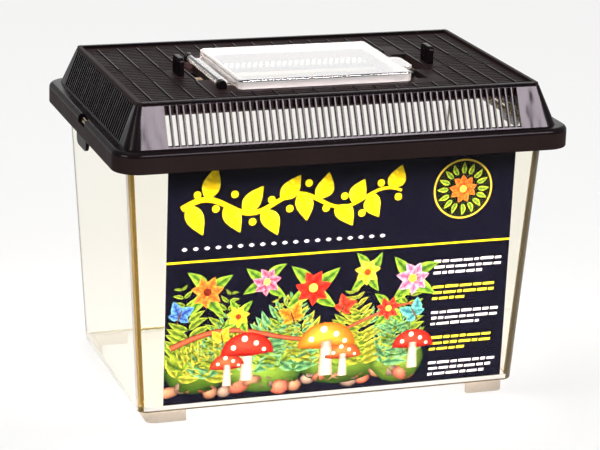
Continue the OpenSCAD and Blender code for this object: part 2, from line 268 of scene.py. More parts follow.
def shade(obj):
    """Shades round stretches smooth, while large flat faces keep their own normals up to their edges."""
    obj.data.shade_smooth()
    obj.data.set_sharp_from_angle(angle=math.radians(32))
    modifier = obj.modifiers.new("flat faces first", "WEIGHTED_NORMAL")
    modifier.weight = 100
    modifier.keep_sharp = True
    return settle(obj)


def paint_faces(obj, paint):
    """Writes the attribute of colour and haze: paint(normal, middle in millimetres) gives a face's colour, in
    part painted light, and its haze.
    """
    values = []
    for face in obj.data.polygons:
        code, haze = paint(face.normal, Vector(face.center) / MM)
        values += [*linear(code, haze)] * face.loop_total
    obj.data.attributes.new("tint_and_painted_light", "FLOAT_COLOR", "CORNER").data.foreach_set("color", values)


def piece(obj, body, material, slot, *nodes):
    """Gives an object its body, the nodes that it stands for and, if it has none, its material. slot is not
    used.
    """
    if not obj.data.materials:
        obj.data.materials.append(material)
    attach(obj, body)
    if nodes:
        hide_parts(*nodes)


def cut(obj, cutter_bm, operation="DIFFERENCE"):
    """Cuts a mesh in millimetres out of an object, or adds it, and leaves no modifier behind."""
    cutter = to_object("cutter", cutter_bm)
    modifier = obj.modifiers.new("cut", "BOOLEAN")
    modifier.object = cutter
    modifier.operation = operation
    modifier.solver = "EXACT"
    settle(obj)
    bpy.data.objects.remove(cutter)
    shade(obj)


def settle(obj):
    """Turns what the object's modifiers make into its plain mesh."""
    graph = bpy.context.evaluated_depsgraph_get()
    mesh = bpy.data.meshes.new_from_object(obj.evaluated_get(graph), depsgraph=graph)
    obj.modifiers.clear()
    obj.data = mesh
    return obj


# ---------------------------------------------------------------- nodes and materials

def linear(code, alpha=1.0):
    """A colour written as sRGB hex, in the linear values that the shaders take."""
    parts = [int(code[i:i + 2], 16) / 255 for i in (1, 3, 5)]
    return (*[c / 12.92 if c <= 0.04045 else ((c + 0.055) / 1.055) ** 2.4 for c in parts], alpha)


def add_node(tree, kind, inputs=None, **settings):
    """A node with its settings. Each input, by name or number, is a value or the output that feeds it."""
    node = tree.nodes.new(kind)
    for key, value in settings.items():
        setattr(node, key, value)
    for key, value in (inputs or {}).items():
        if isinstance(value, bpy.types.NodeSocket):
            tree.links.new(value, node.inputs[key])
        else:
            node.inputs[key].default_value = value
    return node


def new_material(name):
    """An empty material and its tree, with the output node."""
    material = bpy.data.materials.new(name)
    material.use_nodes = True
    tree = material.node_tree
    tree.nodes.clear()
    return material, tree, add_node(tree, "ShaderNodeOutputMaterial")


def clear_polystyrene(name, edge_tint, strength, mirror):
    """Injection-moulded crystal polystyrene: IOR 1.59, polished by the mould, faintly amber where light
    runs a long way through it. Lamps reach what stands behind it. mirror is how much of the reflection seen
    straight on is left, as behind a polarising filter; a glancing one stays full. An attribute of the mesh
    holds the colour of each face, and as its alpha the haze: the thick rounded edges are a little milky, and
    their colours are partly the plastic's amber and partly painted light, the light and shade that they
    refract and mirror."""
    material, tree, out = new_material(name)
    tint_and_painted_light = add_node(tree, "ShaderNodeAttribute", attribute_name="tint_and_painted_light")
    clearness = add_node(tree, "ShaderNodeMath", {0: 1.0, 1: tint_and_painted_light.outputs["Alpha"]}, operation="SUBTRACT")
    haze = add_node(tree, "ShaderNodeMapRange", {
        "Value": tint_and_painted_light.outputs["Alpha"], "From Max": 0.5, "To Min": 0.015, "To Max": 0.2,
    })
    body = add_node(tree, "ShaderNodeBsdfPrincipled", {
        "Base Color": tint_and_painted_light.outputs["Color"],
        "Transmission Weight": clearness.outputs[0],
        "Roughness": haze.outputs[0],
        "IOR": 1.59,
        "Specular Tint": (mirror, mirror, mirror, 1.0),
    })
    lamp_ray = add_node(tree, "ShaderNodeLightPath")
    open_way = add_node(tree, "ShaderNodeBsdfTransparent", {"Color": (0.93, 0.92, 0.88, 1.0)})
    mix = add_node(tree, "ShaderNodeMixShader", {
        0: lamp_ray.outputs["Is Shadow Ray"],
        1: body.outputs[0],
        2: open_way.outputs[0],
    })
    amber = add_node(tree, "ShaderNodeVolumeAbsorption", {"Color": edge_tint, "Density": strength})
    tree.links.new(mix.outputs[0], out.inputs["Surface"])
    tree.links.new(amber.outputs[0], out.inputs["Volume"])
    return material


def mottled(name, grain_mm, detail, dark, light, finish):
    """A material between two near tones, in grains of a size. finish holds the shader's other values."""
    material, tree, out = new_material(name)
    place = add_node(tree, "ShaderNodeTexCoord")
    grain = add_node(tree, "ShaderNodeTexNoise", {
        "Vector": place.outputs["Object"], "Scale": 1 / (grain_mm * MM), "Detail": detail,
    })
    tone = add_node(tree, "ShaderNodeMix", {
        0: grain.outputs["Fac"], 6: linear(dark), 7: linear(light),
    }, data_type="RGBA")
    body = add_node(tree, "ShaderNodeBsdfPrincipled", {"Base Color": tone.outputs[2], **finish})
    tree.links.new(body.outputs[0], out.inputs["Surface"])
    return material


def frosted_polystyrene():
    """The same polystyrene with an etched face: it scatters what passes, so that it looks milky grey."""
    return mottled("Etched clear polystyrene", 2.5, 3.0, "#cdc1b0", "#e2d8c8", {
        "Roughness": 0.45, "IOR": 1.59, "Transmission Weight": 0.35, "Specular IOR Level": 0.1,
    })


def black_polystyrene(name, base, light, roughness, spread, grain_mm, bump, shine, wave):
    """High-impact polystyrene dyed black and injection moulded. grain_mm is the size of the spark-eroded
    grain that the mould leaves, which breaks up the shine; a polished mould leaves nearly none. wave is the
    depth in millimetres of the sink marks, upright ripples that bend what the faces mirror."""
    material, tree, out = new_material(name)
    place = add_node(tree, "ShaderNodeTexCoord")
    grain = add_node(tree, "ShaderNodeTexNoise", {
        "Vector": place.outputs["Object"], "Scale": 1 / (grain_mm * MM), "Detail": 4.0, "Roughness": 0.6,
    })
    flow = add_node(tree, "ShaderNodeTexNoise", {
        "Vector": place.outputs["Object"], "Scale": 1 / (22 * MM), "Detail": 3.0, "Roughness": 0.55,
    })
    tone = add_node(tree, "ShaderNodeMix", {
        0: flow.outputs["Fac"], 6: linear(base), 7: linear(light),
    }, data_type="RGBA")
    rough = add_node(tree, "ShaderNodeMapRange", {
        "Value": flow.outputs["Fac"], "From Min": 0.3, "From Max": 0.7,
        "To Min": roughness - spread, "To Max": roughness + spread,
    })
    stretch = add_node(tree, "ShaderNodeMapping", {
        "Vector": place.outputs["Object"], "Scale": (1.0, 1.0, 0.15),
    })
    sink = add_node(tree, "ShaderNodeTexNoise", {
        "Vector": stretch.outputs[0], "Scale": 1 / (9 * MM), "Detail": 1.0,
    })
    ripple = add_node(tree, "ShaderNodeBump", {
        "Height": sink.outputs["Fac"], "Strength": 1.0, "Distance": wave * MM,
    })
    relief = add_node(tree, "ShaderNodeBump", {
        "Height": grain.outputs["Fac"], "Strength": bump, "Distance": 0.1 * MM, "Normal": ripple.outputs[0],
    })
    body = add_node(tree, "ShaderNodeBsdfPrincipled", {
        "Base Color": tone.outputs[2],
        "Roughness": rough.outputs[0],
        "IOR": 1.5,
        "Specular IOR Level": shine,
        "Normal": relief.outputs[0],
    })
    tree.links.new(body.outputs[0], out.inputs["Surface"])
    return material


def coated_card():
    """White coated board: fine paper grain under a thin varnish."""
    return mottled("Coated white board", 0.8, 4.0, "#d9d5cb", "#ebe7dd", {"Roughness": 0.6, "IOR": 1.45})


def printing_ink():
    """Offset inks under varnish: the colour is the ink attribute of the mesh, broken up by a fine screen."""
    material, tree, out = new_material("Varnished offset print")
    ink = add_node(tree, "ShaderNodeAttribute", attribute_name="ink")
    place = add_node(tree, "ShaderNodeTexCoord")
    screen = add_node(tree, "ShaderNodeTexNoise", {
        "Vector": place.outputs["Object"], "Scale": 1 / (0.9 * MM), "Detail": 3.0,
    })
    strength = add_node(tree, "ShaderNodeMapRange", {
        "Value": screen.outputs["Fac"], "From Min": 0.3, "From Max": 0.7, "To Min": 0.82, "To Max": 1.12,
    })
    tone = add_node(tree, "ShaderNodeVectorMath", {
        0: ink.outputs["Color"], 1: strength.outputs[0],
    }, operation="MULTIPLY")
    body = add_node(tree, "ShaderNodeBsdfPrincipled", {
        "Base Color": tone.outputs[0], "Roughness": 0.45, "IOR": 1.5, "Specular IOR Level": 0.03,
    })
    tree.links.new(body.outputs[0], out.inputs["Surface"])
    return material


def studio_floor():
    """White sweep: near white as the camera, a mirror or glass sees it, but with a soft shadow."""
    material, tree, out = new_material("White paper sweep")
    paper = add_node(tree, "ShaderNodeBsdfDiffuse", {"Color": linear("#f2f1ee")})
    seen_paper = add_node(tree, "ShaderNodeBsdfDiffuse", {"Color": (0.28, 0.28, 0.28, 1.0)})
    glow = add_node(tree, "ShaderNodeEmission", {"Color": (1.0, 0.995, 0.985, 1.0), "Strength": 0.7})
    white = add_node(tree, "ShaderNodeAddShader", {0: seen_paper.outputs[0], 1: glow.outputs[0]})
    mix = add_node(tree, "ShaderNodeMixShader", {
        0: seen_ray(tree), 1: paper.outputs[0], 2: white.outputs[0],
    })
    tree.links.new(mix.outputs[0], out.inputs["Surface"])
    return material


def seen_ray(tree):
    """1 for a ray from the camera or sent on by a mirror or glass, and 0 for one that carries light."""
    path = add_node(tree, "ShaderNodeLightPath")
    mirror = add_node(tree, "ShaderNodeMath", {
        0: path.outputs["Is Camera Ray"], 1: path.outputs["Is Glossy Ray"],
    }, operation="MAXIMUM")
    either = add_node(tree, "ShaderNodeMath", {
        0: mirror.outputs[0], 1: path.outputs["Is Transmission Ray"],
    }, operation="MAXIMUM")
    return either.outputs[0]


# ---------------------------------------------------------------- rows of parts

def row_tree():
    """Geometry nodes that copy the incoming part along a straight row and give every copy a material."""
    tree = bpy.data.node_groups.new("Row of parts", "GeometryNodeTree")
    for name, kind in (("Geometry", "Geometry"), ("Count", "Int"), ("Start", "Vector"), ("Step", "Vector"),
                       ("Material", "Material")):
        tree.interface.new_socket(name, in_out="INPUT", socket_type="NodeSocket" + kind)
    tree.interface.new_socket("Geometry", in_out="OUTPUT", socket_type="NodeSocketGeometry")
    start = add_node(tree, "NodeGroupInput")
    line = add_node(tree, "GeometryNodeMeshLine", {
        "Count": start.outputs["Count"],
        "Start Location": start.outputs["Start"],
        "Offset": start.outputs["Step"],
    })
    copies = add_node(tree, "GeometryNodeInstanceOnPoints", {
        "Points": line.outputs[0], "Instance": start.outputs["Geometry"],
    })
    real = add_node(tree, "GeometryNodeRealizeInstances", {0: copies.outputs[0]})
    paint = add_node(tree, "GeometryNodeSetMaterial", {
        "Geometry": real.outputs[0], "Material": start.outputs["Material"],
    })
    add_node(tree, "NodeGroupOutput", {0: paint.outputs[0]})
    return tree


def rows(name, parts, material):
    """One plain object from rows of (mesh, count, first place, step), in millimetres."""
    tree = bpy.data.node_groups.get("Row of parts") or row_tree()
    sockets = {s.name: s.identifier for s in tree.interface.items_tree if s.in_out == "INPUT"}
    bases = []
    for bm, count, start, step in parts:
        base = to_object(name + "_part", bm)
        modifier = base.modifiers.new("row", "NODES")
        modifier.node_group = tree
        modifier[sockets["Count"]] = count
        modifier[sockets["Start"]] = [c * MM for c in start]
        modifier[sockets["Step"]] = [c * MM for c in step]
        modifier[sockets["Material"]] = material
        bases.append(settle(base))
    obj = in_scene(name, joined(bases))
    obj.data.materials.append(material)
    return shade(obj)


# ---------------------------------------------------------------- sizes and colours that a user may change

def length_setting(name, about, default, low, high):
    """A length that a user may change, from its values in millimetres."""
    return bpy.props.FloatProperty(
        name=name, description=about, default=default * MM, min=low * MM, max=high * MM, unit="LENGTH")


def colour_setting(name, about, default):
    """A colour that a user may change, as sRGB hex."""
    return bpy.props.StringProperty(name=name, description=about + ", as sRGB hex", default=default)


class TankSettings(bpy.types.PropertyGroup):
    """Clear tank and its feet."""

    wall: length_setting("Wall", "Thickness of the tank's walls", 2.2, 1.6, 2.6)
    floor: length_setting("Floor", "Thickness of the tank's floor", 2.4, 1.8, 3)
    corner: length_setting("Corner radius", "Radius of the upright corners, outside", 5, 4, 6)
    tint: colour_setting("Tint", "Colour of light that has passed one pane", "#fdfbf4")
    edge_tint: bpy.props.FloatVectorProperty(
        name="Edge tint", description="Colour that the plastic takes along its edges",
        subtype="COLOR", size=4, default=linear("#e1c547"), min=0, max=1)


class LidSettings(bpy.types.PropertyGroup):
    """Black lid."""

    polished: colour_setting("Polished black", "Colour of the slopes and the rim", "#120c0e")
    grained: colour_setting("Grained black", "Colour of the top", "#1d1415")
    corner_foot: length_setting(
        "Slope corner at the ledge", "Radius of the slopes' corners at their foot", 7, 2, 9)
    corner_crest: length_setting(
        "Slope corner at the crest", "Radius of the slopes' corners at the crest", 2.4, 1, 4)


class CardSettings(bpy.types.PropertyGroup):
    """Printed card."""

    ground: colour_setting("Ground", "Colour of the print's ground", "#060614")
    seed: bpy.props.IntProperty(
        name="Seed", description="Number that sets how the leaves and stones vary", default=11, min=0)


class StageSettings(bpy.types.PropertyGroup):
    """Camera, lamps and floor."""

    azimuth: bpy.props.FloatProperty(
        name="Azimuth", description="Turn of the camera round the keeper, from the front towards the right",
        default=math.radians(-18.789), subtype="ANGLE")
    elevation: bpy.props.FloatProperty(
        name="Elevation", description="Height of the camera above the horizon",
        default=math.radians(16.716), subtype="ANGLE")
    roll: bpy.props.FloatProperty(
        name="Roll", description="Turn of the picture about the line of sight",
        default=math.radians(1.69), subtype="ANGLE")
    distance: bpy.props.FloatProperty(
        name="Distance", description="Distance from the camera to the point that it looks at",
        default=1.202371, unit="LENGTH")
    lens: bpy.props.FloatProperty(
        name="Lens", description="Focal length on a sensor 36 mm wide, in millimetres", default=141.283)


# ---------------------------------------------------------------- operators

class BuildTank(bpy.types.Operator):
    """Clear tank with its leaning walls, flange and lip, and the four feet"""

    bl_idname = "petkeeper.build_tank"
    bl_label = "Clear tank and feet"

    def execute(self, context):
        s = context.scene.petkeeper_tank
        wall, floor, corner = s.wall / MM, s.floor / MM, s.corner / MM

        def size(z, inset):
            share = (z - FLOOR_Z) / (FLANGE_Z - FLOOR_Z)
            return BASE_L + DRAFT_L * share - 2 * inset, BASE_W + DRAFT_W * share - 2 * inset

        def wall_ring(z, inset):
            return (z, *size(z, inset), max(corner - inset, 0.6))

        # rounded edge under the floor, fillet over it, and how far above it reaches the floor's edge, painted
        # milky white: a painted highlight
        edge, fillet, band = 1.2, 0.9, 0.95
        rings = [wall_ring(z, d) for z, d in reversed(quarter_round(FLOOR_Z, 0.0, edge))]
        inner = FLOOR_Z + floor
        rings.append(wall_ring(inner + band, 0.0))
        rings.append(wall_ring(FLANGE_Z - 0.8, 0.0))
        rings.append((FLANGE_Z - 0.2, *size(FLANGE_Z, -0.3), corner + 0.3))
        rings.append(wall_ring(FLANGE_Z, -1.0))
        brim = FLANGE_Z + FLANGE_T
        lip = [(FLANGE_Z, 0.5), (FLANGE_Z + 0.15, 0.15), (FLANGE_Z + 0.5, 0.0), (LIP_Z - 2.1, 0.0),
               (LIP_Z - 1.3, 0.0), (LIP_Z - 0.6, 0.02), (LIP_Z - 0.3, 0.2), (LIP_Z - 0.04, 0.7),
               (LIP_Z - 0.04, LIP_T - 0.7), (LIP_Z - 0.25, LIP_T - 0.2), (LIP_Z - 0.7, LIP_T),
               (brim + 0.5, LIP_T), (brim, LIP_T + 0.5)]
        rings += inset_rings(lip, FLANGE_L, FLANGE_W, FLANGE_R)
        rings.append(wall_ring(brim, wall - 0.8))
        rings.append((brim - 0.25, *size(brim, wall - 0.2), corner - wall + 0.2))
        rings.append(wall_ring(brim - 0.9, wall))
        rings += [wall_ring(z, d) for z, d in quarter_round(inner, wall, fillet)]
        clear = clear_polystyrene("Crystal polystyrene, tank", s.edge_tint, 5.0, 0.03)

        def look(normal, middle):
            """Colour and haze of a face of the tub. Seen end-on, its thick edges take the plastic's amber,
            and each edge and corner is also painted with the light and shade that it refracts and mirrors:
            milky cream where it is lit, olive and brown where it is in shade. flat is 1 on a straight wall,
            and turn goes from 0 on the short walls to 90 on the long ones."""
            clear_face = (s.tint, 0.0)
            outward = normal.x * middle.x + normal.y * middle.y > 0 and middle.z < FLANGE_Z - 1
            flat = max(abs(normal.x), abs(normal.y)) / max(math.hypot(normal.x, normal.y), 1e-6)
            turn = math.degrees(math.atan2(abs(normal.y), abs(normal.x)))
            # lip: the cream is a painted highlight, and the brown line round it is painted shade
            if middle.z > LIP_Z - 2.0:  # lip, with a brown line round it
                return ("#8c6a3c", 0.75) if LIP_Z - 1.25 < middle.z < LIP_Z - 0.3 else ("#fff1d6", 0.75)
            if middle.z > FLANGE_Z - 1:  # edges of the flange
                return ("#a8904e", 0.55) if max(abs(c) for c in normal) < 0.975 else clear_face
            if outward and normal.z < -0.99:
                return clear_face
            # the rounded edge under the floor is painted light and shade: each face's tone follows the way it
            # turns
            if outward and middle.z < FLOOR_Z + edge:  # rounded edge under the floor
                if flat < 0.99:
                    return "#8c7444", 0.6
                if turn < 45:
                    return "#efe6da", 0.7
                return ("#877b5a" if normal.z > -0.7 else "#a89c82"), 0.7
            # the floor's edge gets a painted milky highlight, which reaches further round the left end
            left_end = middle.x < 0 and (turn > 66 or middle.y > 0)
            if outward and middle.z < inner + band and (flat > 0.99 or left_end):  # edge of the floor
                return "#fdfbf4", 0.92
            # painted shade: an olive line along the fillet at the back, for the light and shade that it
            # refracts
            if abs(normal.z) > 0.2:  # fillet at the foot of the back wall
                return ("#8f8458", 0.6) if middle.y > 0 and turn > 80 and normal.z < 0.99 else clear_face
            if flat > 0.998:
                return clear_face
            # the upright corners are painted with the light and shade that they refract and mirror: milky
            # cream, amber, olive and grey-brown bands, of a different width at each corner
            if middle.y < 0 and middle.x < 0:  # upright corners: front left, front right, then the back ones
                if turn < 25:
                    return "#fbefe2", 0.9
                if turn > 66:
                    return clear_face
                return ("#bda25e" if turn < 45 else "#9a7f42"), 0.55
            if middle.y < 0:
                return ("#948d70" if turn < 15 else "#5a4d30" if turn < 40 else "#7d7054"), 0.55
            reach = 14 if middle.x > 0 else 24 if outward else 40
            return ("#7d7258", 0.85) if turn < reach else clear_face

        tub = to_object("clear_tub", loft(rings, arc=10))
        paint_faces(tub, look)
        piece(tub, "tank", clear, "clear_tank", "tank_tub")

        foot_l, foot_w = FEET_HIGH[0], FEET_HIGH[1]
        reach_x, reach_y = BASE_L / 2 - FOOT_LEG_X, BASE_W / 2 - FOOT_LEG_Y
        r, t = FOOT_R, FOOT_T
        rib = [(reach_x, -foot_w)] + arc_points(foot_l - r, -foot_w + r, r, -90, 0, 8)
        rib += [(foot_l, -reach_y), (foot_l - t, -reach_y)]
        rib += arc_points(foot_l - r, -foot_w + r, r - t, 0, -90, 6) + [(reach_x, -foot_w + t)]
        feet = []
        for sx in (1, -1):
            for sy in (1, -1):
                points = [(x * sx, y * sy) for x, y in rib]
                bm = prism(points if sx * sy > 0 else points[::-1], FLOOR_Z - 0.05)
                feet.append(round_edges(bm, 0.35, 2, 40))
        feet_obj = to_object("tank_feet", joined(feet))
        piece(feet_obj, "tank", frosted_polystyrene(), "frosted_feet", "corner_feet")
        return {"FINISHED"}


class BuildCard(bpy.types.Operator):
    """Printed card that stands inside the tank's front wall"""

    bl_idname = "petkeeper.build_card"
    bl_label = "Printed card"

    def execute(self, context):
        s = context.scene.petkeeper_card
        low, high = CARD_LOW, CARD_HIGH
        across = (low[0] + high[0]) / 2
        lean = (high[1] - low[1] - CARD_T) / (high[2] - low[2])
        slant = math.hypot(1, lean)
        width, height = high[0] - low[0], (high[2] - low[2]) * slant
        face = Matrix.Translation((across, 0, low[2])) @ Matrix(
            ((1, 0, 0, 0), (0, -lean / slant, 1 / slant, 0), (0, 1 / slant, lean / slant, 0), (0, 0, 0, 1)))
        foot_y = high[1] - CARD_T

        def on_card(u, v, depth):
            """A point of the print: u from the card's middle, v up from its foot, depth towards the back."""
            p = face @ Vector((u, v, depth))
            return p.x, p.y + foot_y, p.z

        board = bmesh.new()
        corners = [(-width / 2, 0.05), (width / 2, 0.05), (width / 2, height), (-width / 2, height)]
        front, back = ([board.verts.new(on_card(u, v, depth)) for u, v in corners]
                       for depth in (BOARD_FRONT, BOARD_BACK))
        bridge(board, front, back)
        board.faces.new(front[::-1])
        board.faces.new(back)
        piece(to_object("card_board", board), "tank", coated_card(), "printed_card", "label_card")

        sheet = Print(width, height, s.seed)
        sheet.draw(s.ground)
        piece(sheet.to_piece("card_print", on_card), "tank", printing_ink(), "printed_card")
        return {"FINISHED"}


class Print:
    """The card's print, built up from flat shapes of ink in a few layers. Places are in millimetres."""

    def __init__(self, width, height, seed):
        self.width, self.height = width, height
        self.rng = random.Random(seed)
        self.shapes = []

    def shape(self, points, inks, layer):
        """A face of ink: one colour, or one for each point."""
        inks = [inks] * len(points) if isinstance(inks, tuple) else inks
        self.shapes.append((points, inks, layer))

    def strip(self, left, right, left_ink, right_ink, layer):
        """Faces between two lines of as many points."""
        for k in range(len(left) - 1):
            self.shape(
                [left[k], left[k + 1], right[k + 1], right[k]],
                [left_ink(k), left_ink(k + 1), right_ink(k + 1), right_ink(k)], layer)

    def leaf(self, u, v, length, width, angle, dark, light, layer, ribs=7):
        """A leaf with a bent midrib and a lighter stripe between its veins."""
        a = math.radians(angle)
        bend = self.rng.uniform(-0.12, 0.12) * length

        def at(t, off):
            x, y = t * length, off + bend * math.sin(math.pi * t)
            return u + x * math.cos(a) - y * math.sin(a), v + x * math.sin(a) + y * math.cos(a)

        steps = 2 * ribs
        dark, light = linear(dark), linear(light)
        for side in (1, -1):
            edge = [at(k / steps, side * width / 2 * math.sin(math.pi * (k / steps) ** 0.75))
                    for k in range(steps + 1)]
            rib = [at(k / steps, 0.0) for k in range(steps + 1)]
            dim = 1.0 if side > 0 else 0.72
            tones = [(*[c * dim * between for c in light[:3]], 1.0) for between in (0.62, 1.0)]
            self.strip(rib, edge, lambda k: dark, lambda k: tones[k % 2], layer)

    def frond(self, u, v, length, angle, dark, light, layer, pairs=11):
        """A fern frond: pairs of leaflets along a stem that bends over."""
        a = math.radians(angle)
        curl = self.rng.uniform(0.25, 0.5) * (1 if self.rng.random() < 0.5 else -1)
        for k in range(pairs):
            t = (k + 1) / (pairs + 1)
            heading = a + curl * t * 1.6
            x = u + length * t * math.cos(a + curl * t * 0.8)
            y = v + length * t * math.sin(a + curl * t * 0.8)
            size = length * 0.34 * (1 - t) ** 0.7 + 1.0
            for side in (62, -62):
                self.leaf(x, y, size, size * 0.34, math.degrees(heading) + side, dark, light, layer, 3)

    def pebble(self, u, v, a, b, angle, dark, light, layer):
        """A round stone, lit from its upper left."""
        n = 18
        c, s = math.cos(math.radians(angle)), math.sin(math.radians(angle))
        rim = []
        for k in range(n):
            t = 2 * math.pi * k / n
            x, y = a * math.cos(t) * self.rng.uniform(0.95, 1.05), b * math.sin(t)
            rim.append((u + x * c - y * s, v + x * s + y * c))
        top = (u - 0.28 * a, v + 0.3 * b)
        dark, light = linear(dark), linear(light)
        for k in range(n):
            self.shape([rim[k], rim[(k + 1) % n], top], [dark, dark, light], layer)

    def disc(self, u, v, radius, code, layer, n=20):
        """A flat spot of one ink."""
        self.shape(arc_points(u, v, radius, 0, 360, n)[:n], linear(code), layer)

    def flower(self, u, v, radius, dark, light, eye, layer, petals=7):
        """Petals round an eye."""
        for k in range(petals):
            self.leaf(u, v, radius, radius * 0.62, 360 * k / petals + 12, dark, light, layer, 3)
        self.disc(u, v, radius * 0.24, eye, layer + 1)

    def posy(self, u, v, radius, dark, light, eye, layer):
        """A flower on a cross of green leaves."""
        for k in range(4):
            self.leaf(u, v, radius * 1.75, radius * 0.7, 90 * k + self.rng.uniform(25, 60),
                      "#1f4d18", "#9fd03a", layer, 4)
        self.flower(u, v, radius, dark, light, eye, layer + 1)

    def butterfly(self, u, v, size, angle, dark, light, layer):
        """Two pairs of wings and a dark body."""
        for turn, length, width in ((38, 1.0, 0.62), (-38, 1.0, 0.62), (100, 0.62, 0.5), (-100, 0.62, 0.5)):
            self.leaf(u, v, size * length, size * width, angle + turn, dark, light, layer, 4)
        a = math.radians(angle)
        body = [(u + t * size * math.cos(a), v + t * size * math.sin(a)) for t in (-0.45, 0.0, 0.5)]
        self.ribbon(body, [0.4, size * 0.11, 0.4], "#1b0f0a", "#6b4a2a", layer + 1)

    def toadstool(self, u, v, size, cap_dark, cap_light, layer):
        """A cap with pale spots on a tapered stem."""
        stem_dark, stem_light = linear("#8f7a63"), linear("#efe4cf")
        for side in (1, -1):
            self.shape([(u, v), (u + side * size * 0.13, v), (u + side * size * 0.09, v + size * 0.62),
                        (u, v + size * 0.62)], [stem_light, stem_dark, stem_dark, stem_light], layer)
        n, cx, cy = 16, u, v + size * 0.52
        rim = [(cx + size * 0.5 * math.cos(math.pi * k / n), cy + size * 0.42 * math.sin(math.pi * k / n))
               for k in range(n + 1)]
        dark, light = linear(cap_dark), linear(cap_light)
        for k in range(n):
            self.shape([rim[k], rim[k + 1], (cx - size * 0.1, cy + size * 0.2)], [dark, dark, light], layer)
        self.shape([rim[n], (cx - size * 0.1, cy + size * 0.2), rim[0], (cx, cy - size * 0.05)],
                   [dark, light, dark, dark], layer)
        for du, dv, r in ((-0.26, 0.14, 0.05), (-0.05, 0.3, 0.06), (0.17, 0.2, 0.05), (0.32, 0.07, 0.04)):
            self.disc(cx + du * size, cy + dv * size, r * size, "#f4e7c8", layer + 1, 10)

    def ribbon(self, points, widths, dark, light, layer):
        """A tapered band along a line of points, light along its middle."""
        left, right = [], []
        for k, (x, y) in enumerate(points):
            x0, y0 = points[max(k - 1, 0)]
            x1, y1 = points[min(k + 1, len(points) - 1)]
            d = math.hypot(x1 - x0, y1 - y0)
            nx, ny = -(y1 - y0) / d, (x1 - x0) / d
            left.append((x + nx * widths[k] / 2, y + ny * widths[k] / 2))
            right.append((x - nx * widths[k] / 2, y - ny * widths[k] / 2))
        dark, light = linear(dark), linear(light)
        self.strip(left, points, lambda k: dark, lambda k: light, layer)
        self.strip(points, right, lambda k: light, lambda k: dark, layer)

    def bars(self, u, v, width, lines, code, layer):
        """Lines of short plain bars, each of them ending ragged."""
        ink = linear(code)
        for line in range(lines):
            y = v - line * 3.05
            x = u + (line % 2) * 0.3
            end = u + width * (1.0 if line < lines - 1 else self.rng.uniform(0.55, 0.85))
            while x < end - 1.2:
                word = min(self.rng.uniform(2.2, 7.0), end - x)
                tall = self.rng.uniform(1.15, 1.45)
                points = [(x, y), (x + word, y), (x + word + 0.2, y + tall), (x + 0.2, y + tall)]
                self.shape(points, ink, layer)
                x += word + 0.9

    def draw(self, ground):
        """The whole design: a garland over a rule, a woodland floor, a medallion and blocks of bars."""
        w, h, rng = self.width, self.height, self.rng
        self.shape([(-w / 2, 0.05), (w / 2, 0.05), (w / 2, h), (-w / 2, h)], linear(ground), 0)

        # garland
        line = [(-82 + 3.1 * k, h - 25 + 4.2 * math.sin(k * 0.42)) for k in range(37)]
        self.ribbon(line, [3.0 - 1.6 * k / 36 for k in range(37)], "#d8b400", "#fbe81c", 1)
        for k in range(1, 36, 3):
            x, y = line[k]
            up = 1 if (k // 3) % 2 else -1
            self.leaf(x, y, 17.5 - 0.14 * k, 9.0, up * 62 + rng.uniform(-14, 14), "#dcb800", "#fff02c", 1, 5)
            self.disc(x + 4.6, y - up * 5.0, 1.9, "#f6dd18", 1, 14)

        # row of lozenges, then the rule
        for k in range(19):
            x, y = -80 + 5.6 * k, h - 46.5
            self.shape([(x, y), (x + 1.5, y + 1.0), (x, y + 2.0), (x - 1.5, y + 1.0)], linear("#efeff2"), 1)
        low, high = h - 52.5, h - 51.5
        self.shape([(-w / 2, low), (w / 2, low), (w / 2, high), (-w / 2, high)], linear("#e9d51c"), 1)

        # medallion
        cx, cy = 62, h - 24
        self.disc(cx, cy, 15.5, "#c9b13a", 1, 40)
        self.disc(cx, cy, 14.6, "#12170d", 2, 40)
        for k in range(16):
            self.leaf(cx + 7.6 * math.cos(k * math.pi / 8), cy + 7.6 * math.sin(k * math.pi / 8), 6.2, 2.6,
                      k * 22.5, "#2f6b1d", "#c9d83a", 3, 3)
        self.flower(cx, cy, 7.4, "#c8431a", "#f58b2e", "#f7d94a", 3, 9)

        # woodland floor
        for x, y, a, b, dark, light in (
                (-72, 20, 19, 15, "#16300c", "#6f9a2a"), (-38, 15, 21, 12, "#1b3a12", "#8ab23a"),
                (2, 17, 24, 13, "#16300c", "#7da634"), (32, 14, 14, 12, "#22400f", "#94b53c")):
            self.pebble(x, y, a, b, 0, dark, light, 1)
        floor = [(-w / 2 + 2 + 7.2 * k, 7 + 2.2 * math.sin(k * 1.3)) for k in range(18)]
        for k, (x, y) in enumerate(floor):
            a, b = rng.uniform(3.6, 6.2), rng.uniform(2.6, 4.2)
            dark, light = [("#5b3a28", "#c99672"), ("#4a3b33", "#b9a08a"), ("#6b2f22", "#d98a6a")][k % 3]
            self.pebble(x, y, a, b, rng.uniform(-20, 20), dark, light, 1)
        for k, (x, y, size, angle) in enumerate((
                (-80, 14, 50, 74), (-66, 10, 38, 96), (-72, 12, 44, 52), (-30, 12, 42, 102),
                (-24, 10, 40, 70), (12, 10, 46, 84), (34, 12, 48, 98), (22, 10, 40, 58),
                (-84, 12, 34, 60), (-56, 12, 48, 108), (-44, 10, 50, 82), (-12, 12, 48, 96),
                (-2, 10, 46, 66), (40, 14, 40, 112))):
            dark, light = [("#2c4a14", "#a9c53a"), ("#1f5230", "#8fd28a"), ("#4b5a12", "#d6d84a")][k % 3]
            self.frond(x, y, size, angle, dark, light, 2)
        for x, y, size, dark, light in (
                (-47, 10, 27, "#7a120d", "#e8402c"), (-57, 8, 18, "#7a120d", "#f0603c"),
                (-6, 9, 30, "#8a4a10", "#f2b13a"), (3, 8, 19, "#7a2a12", "#e07a3a"),
                (40, 9, 22, "#7a120d", "#e8402c")):
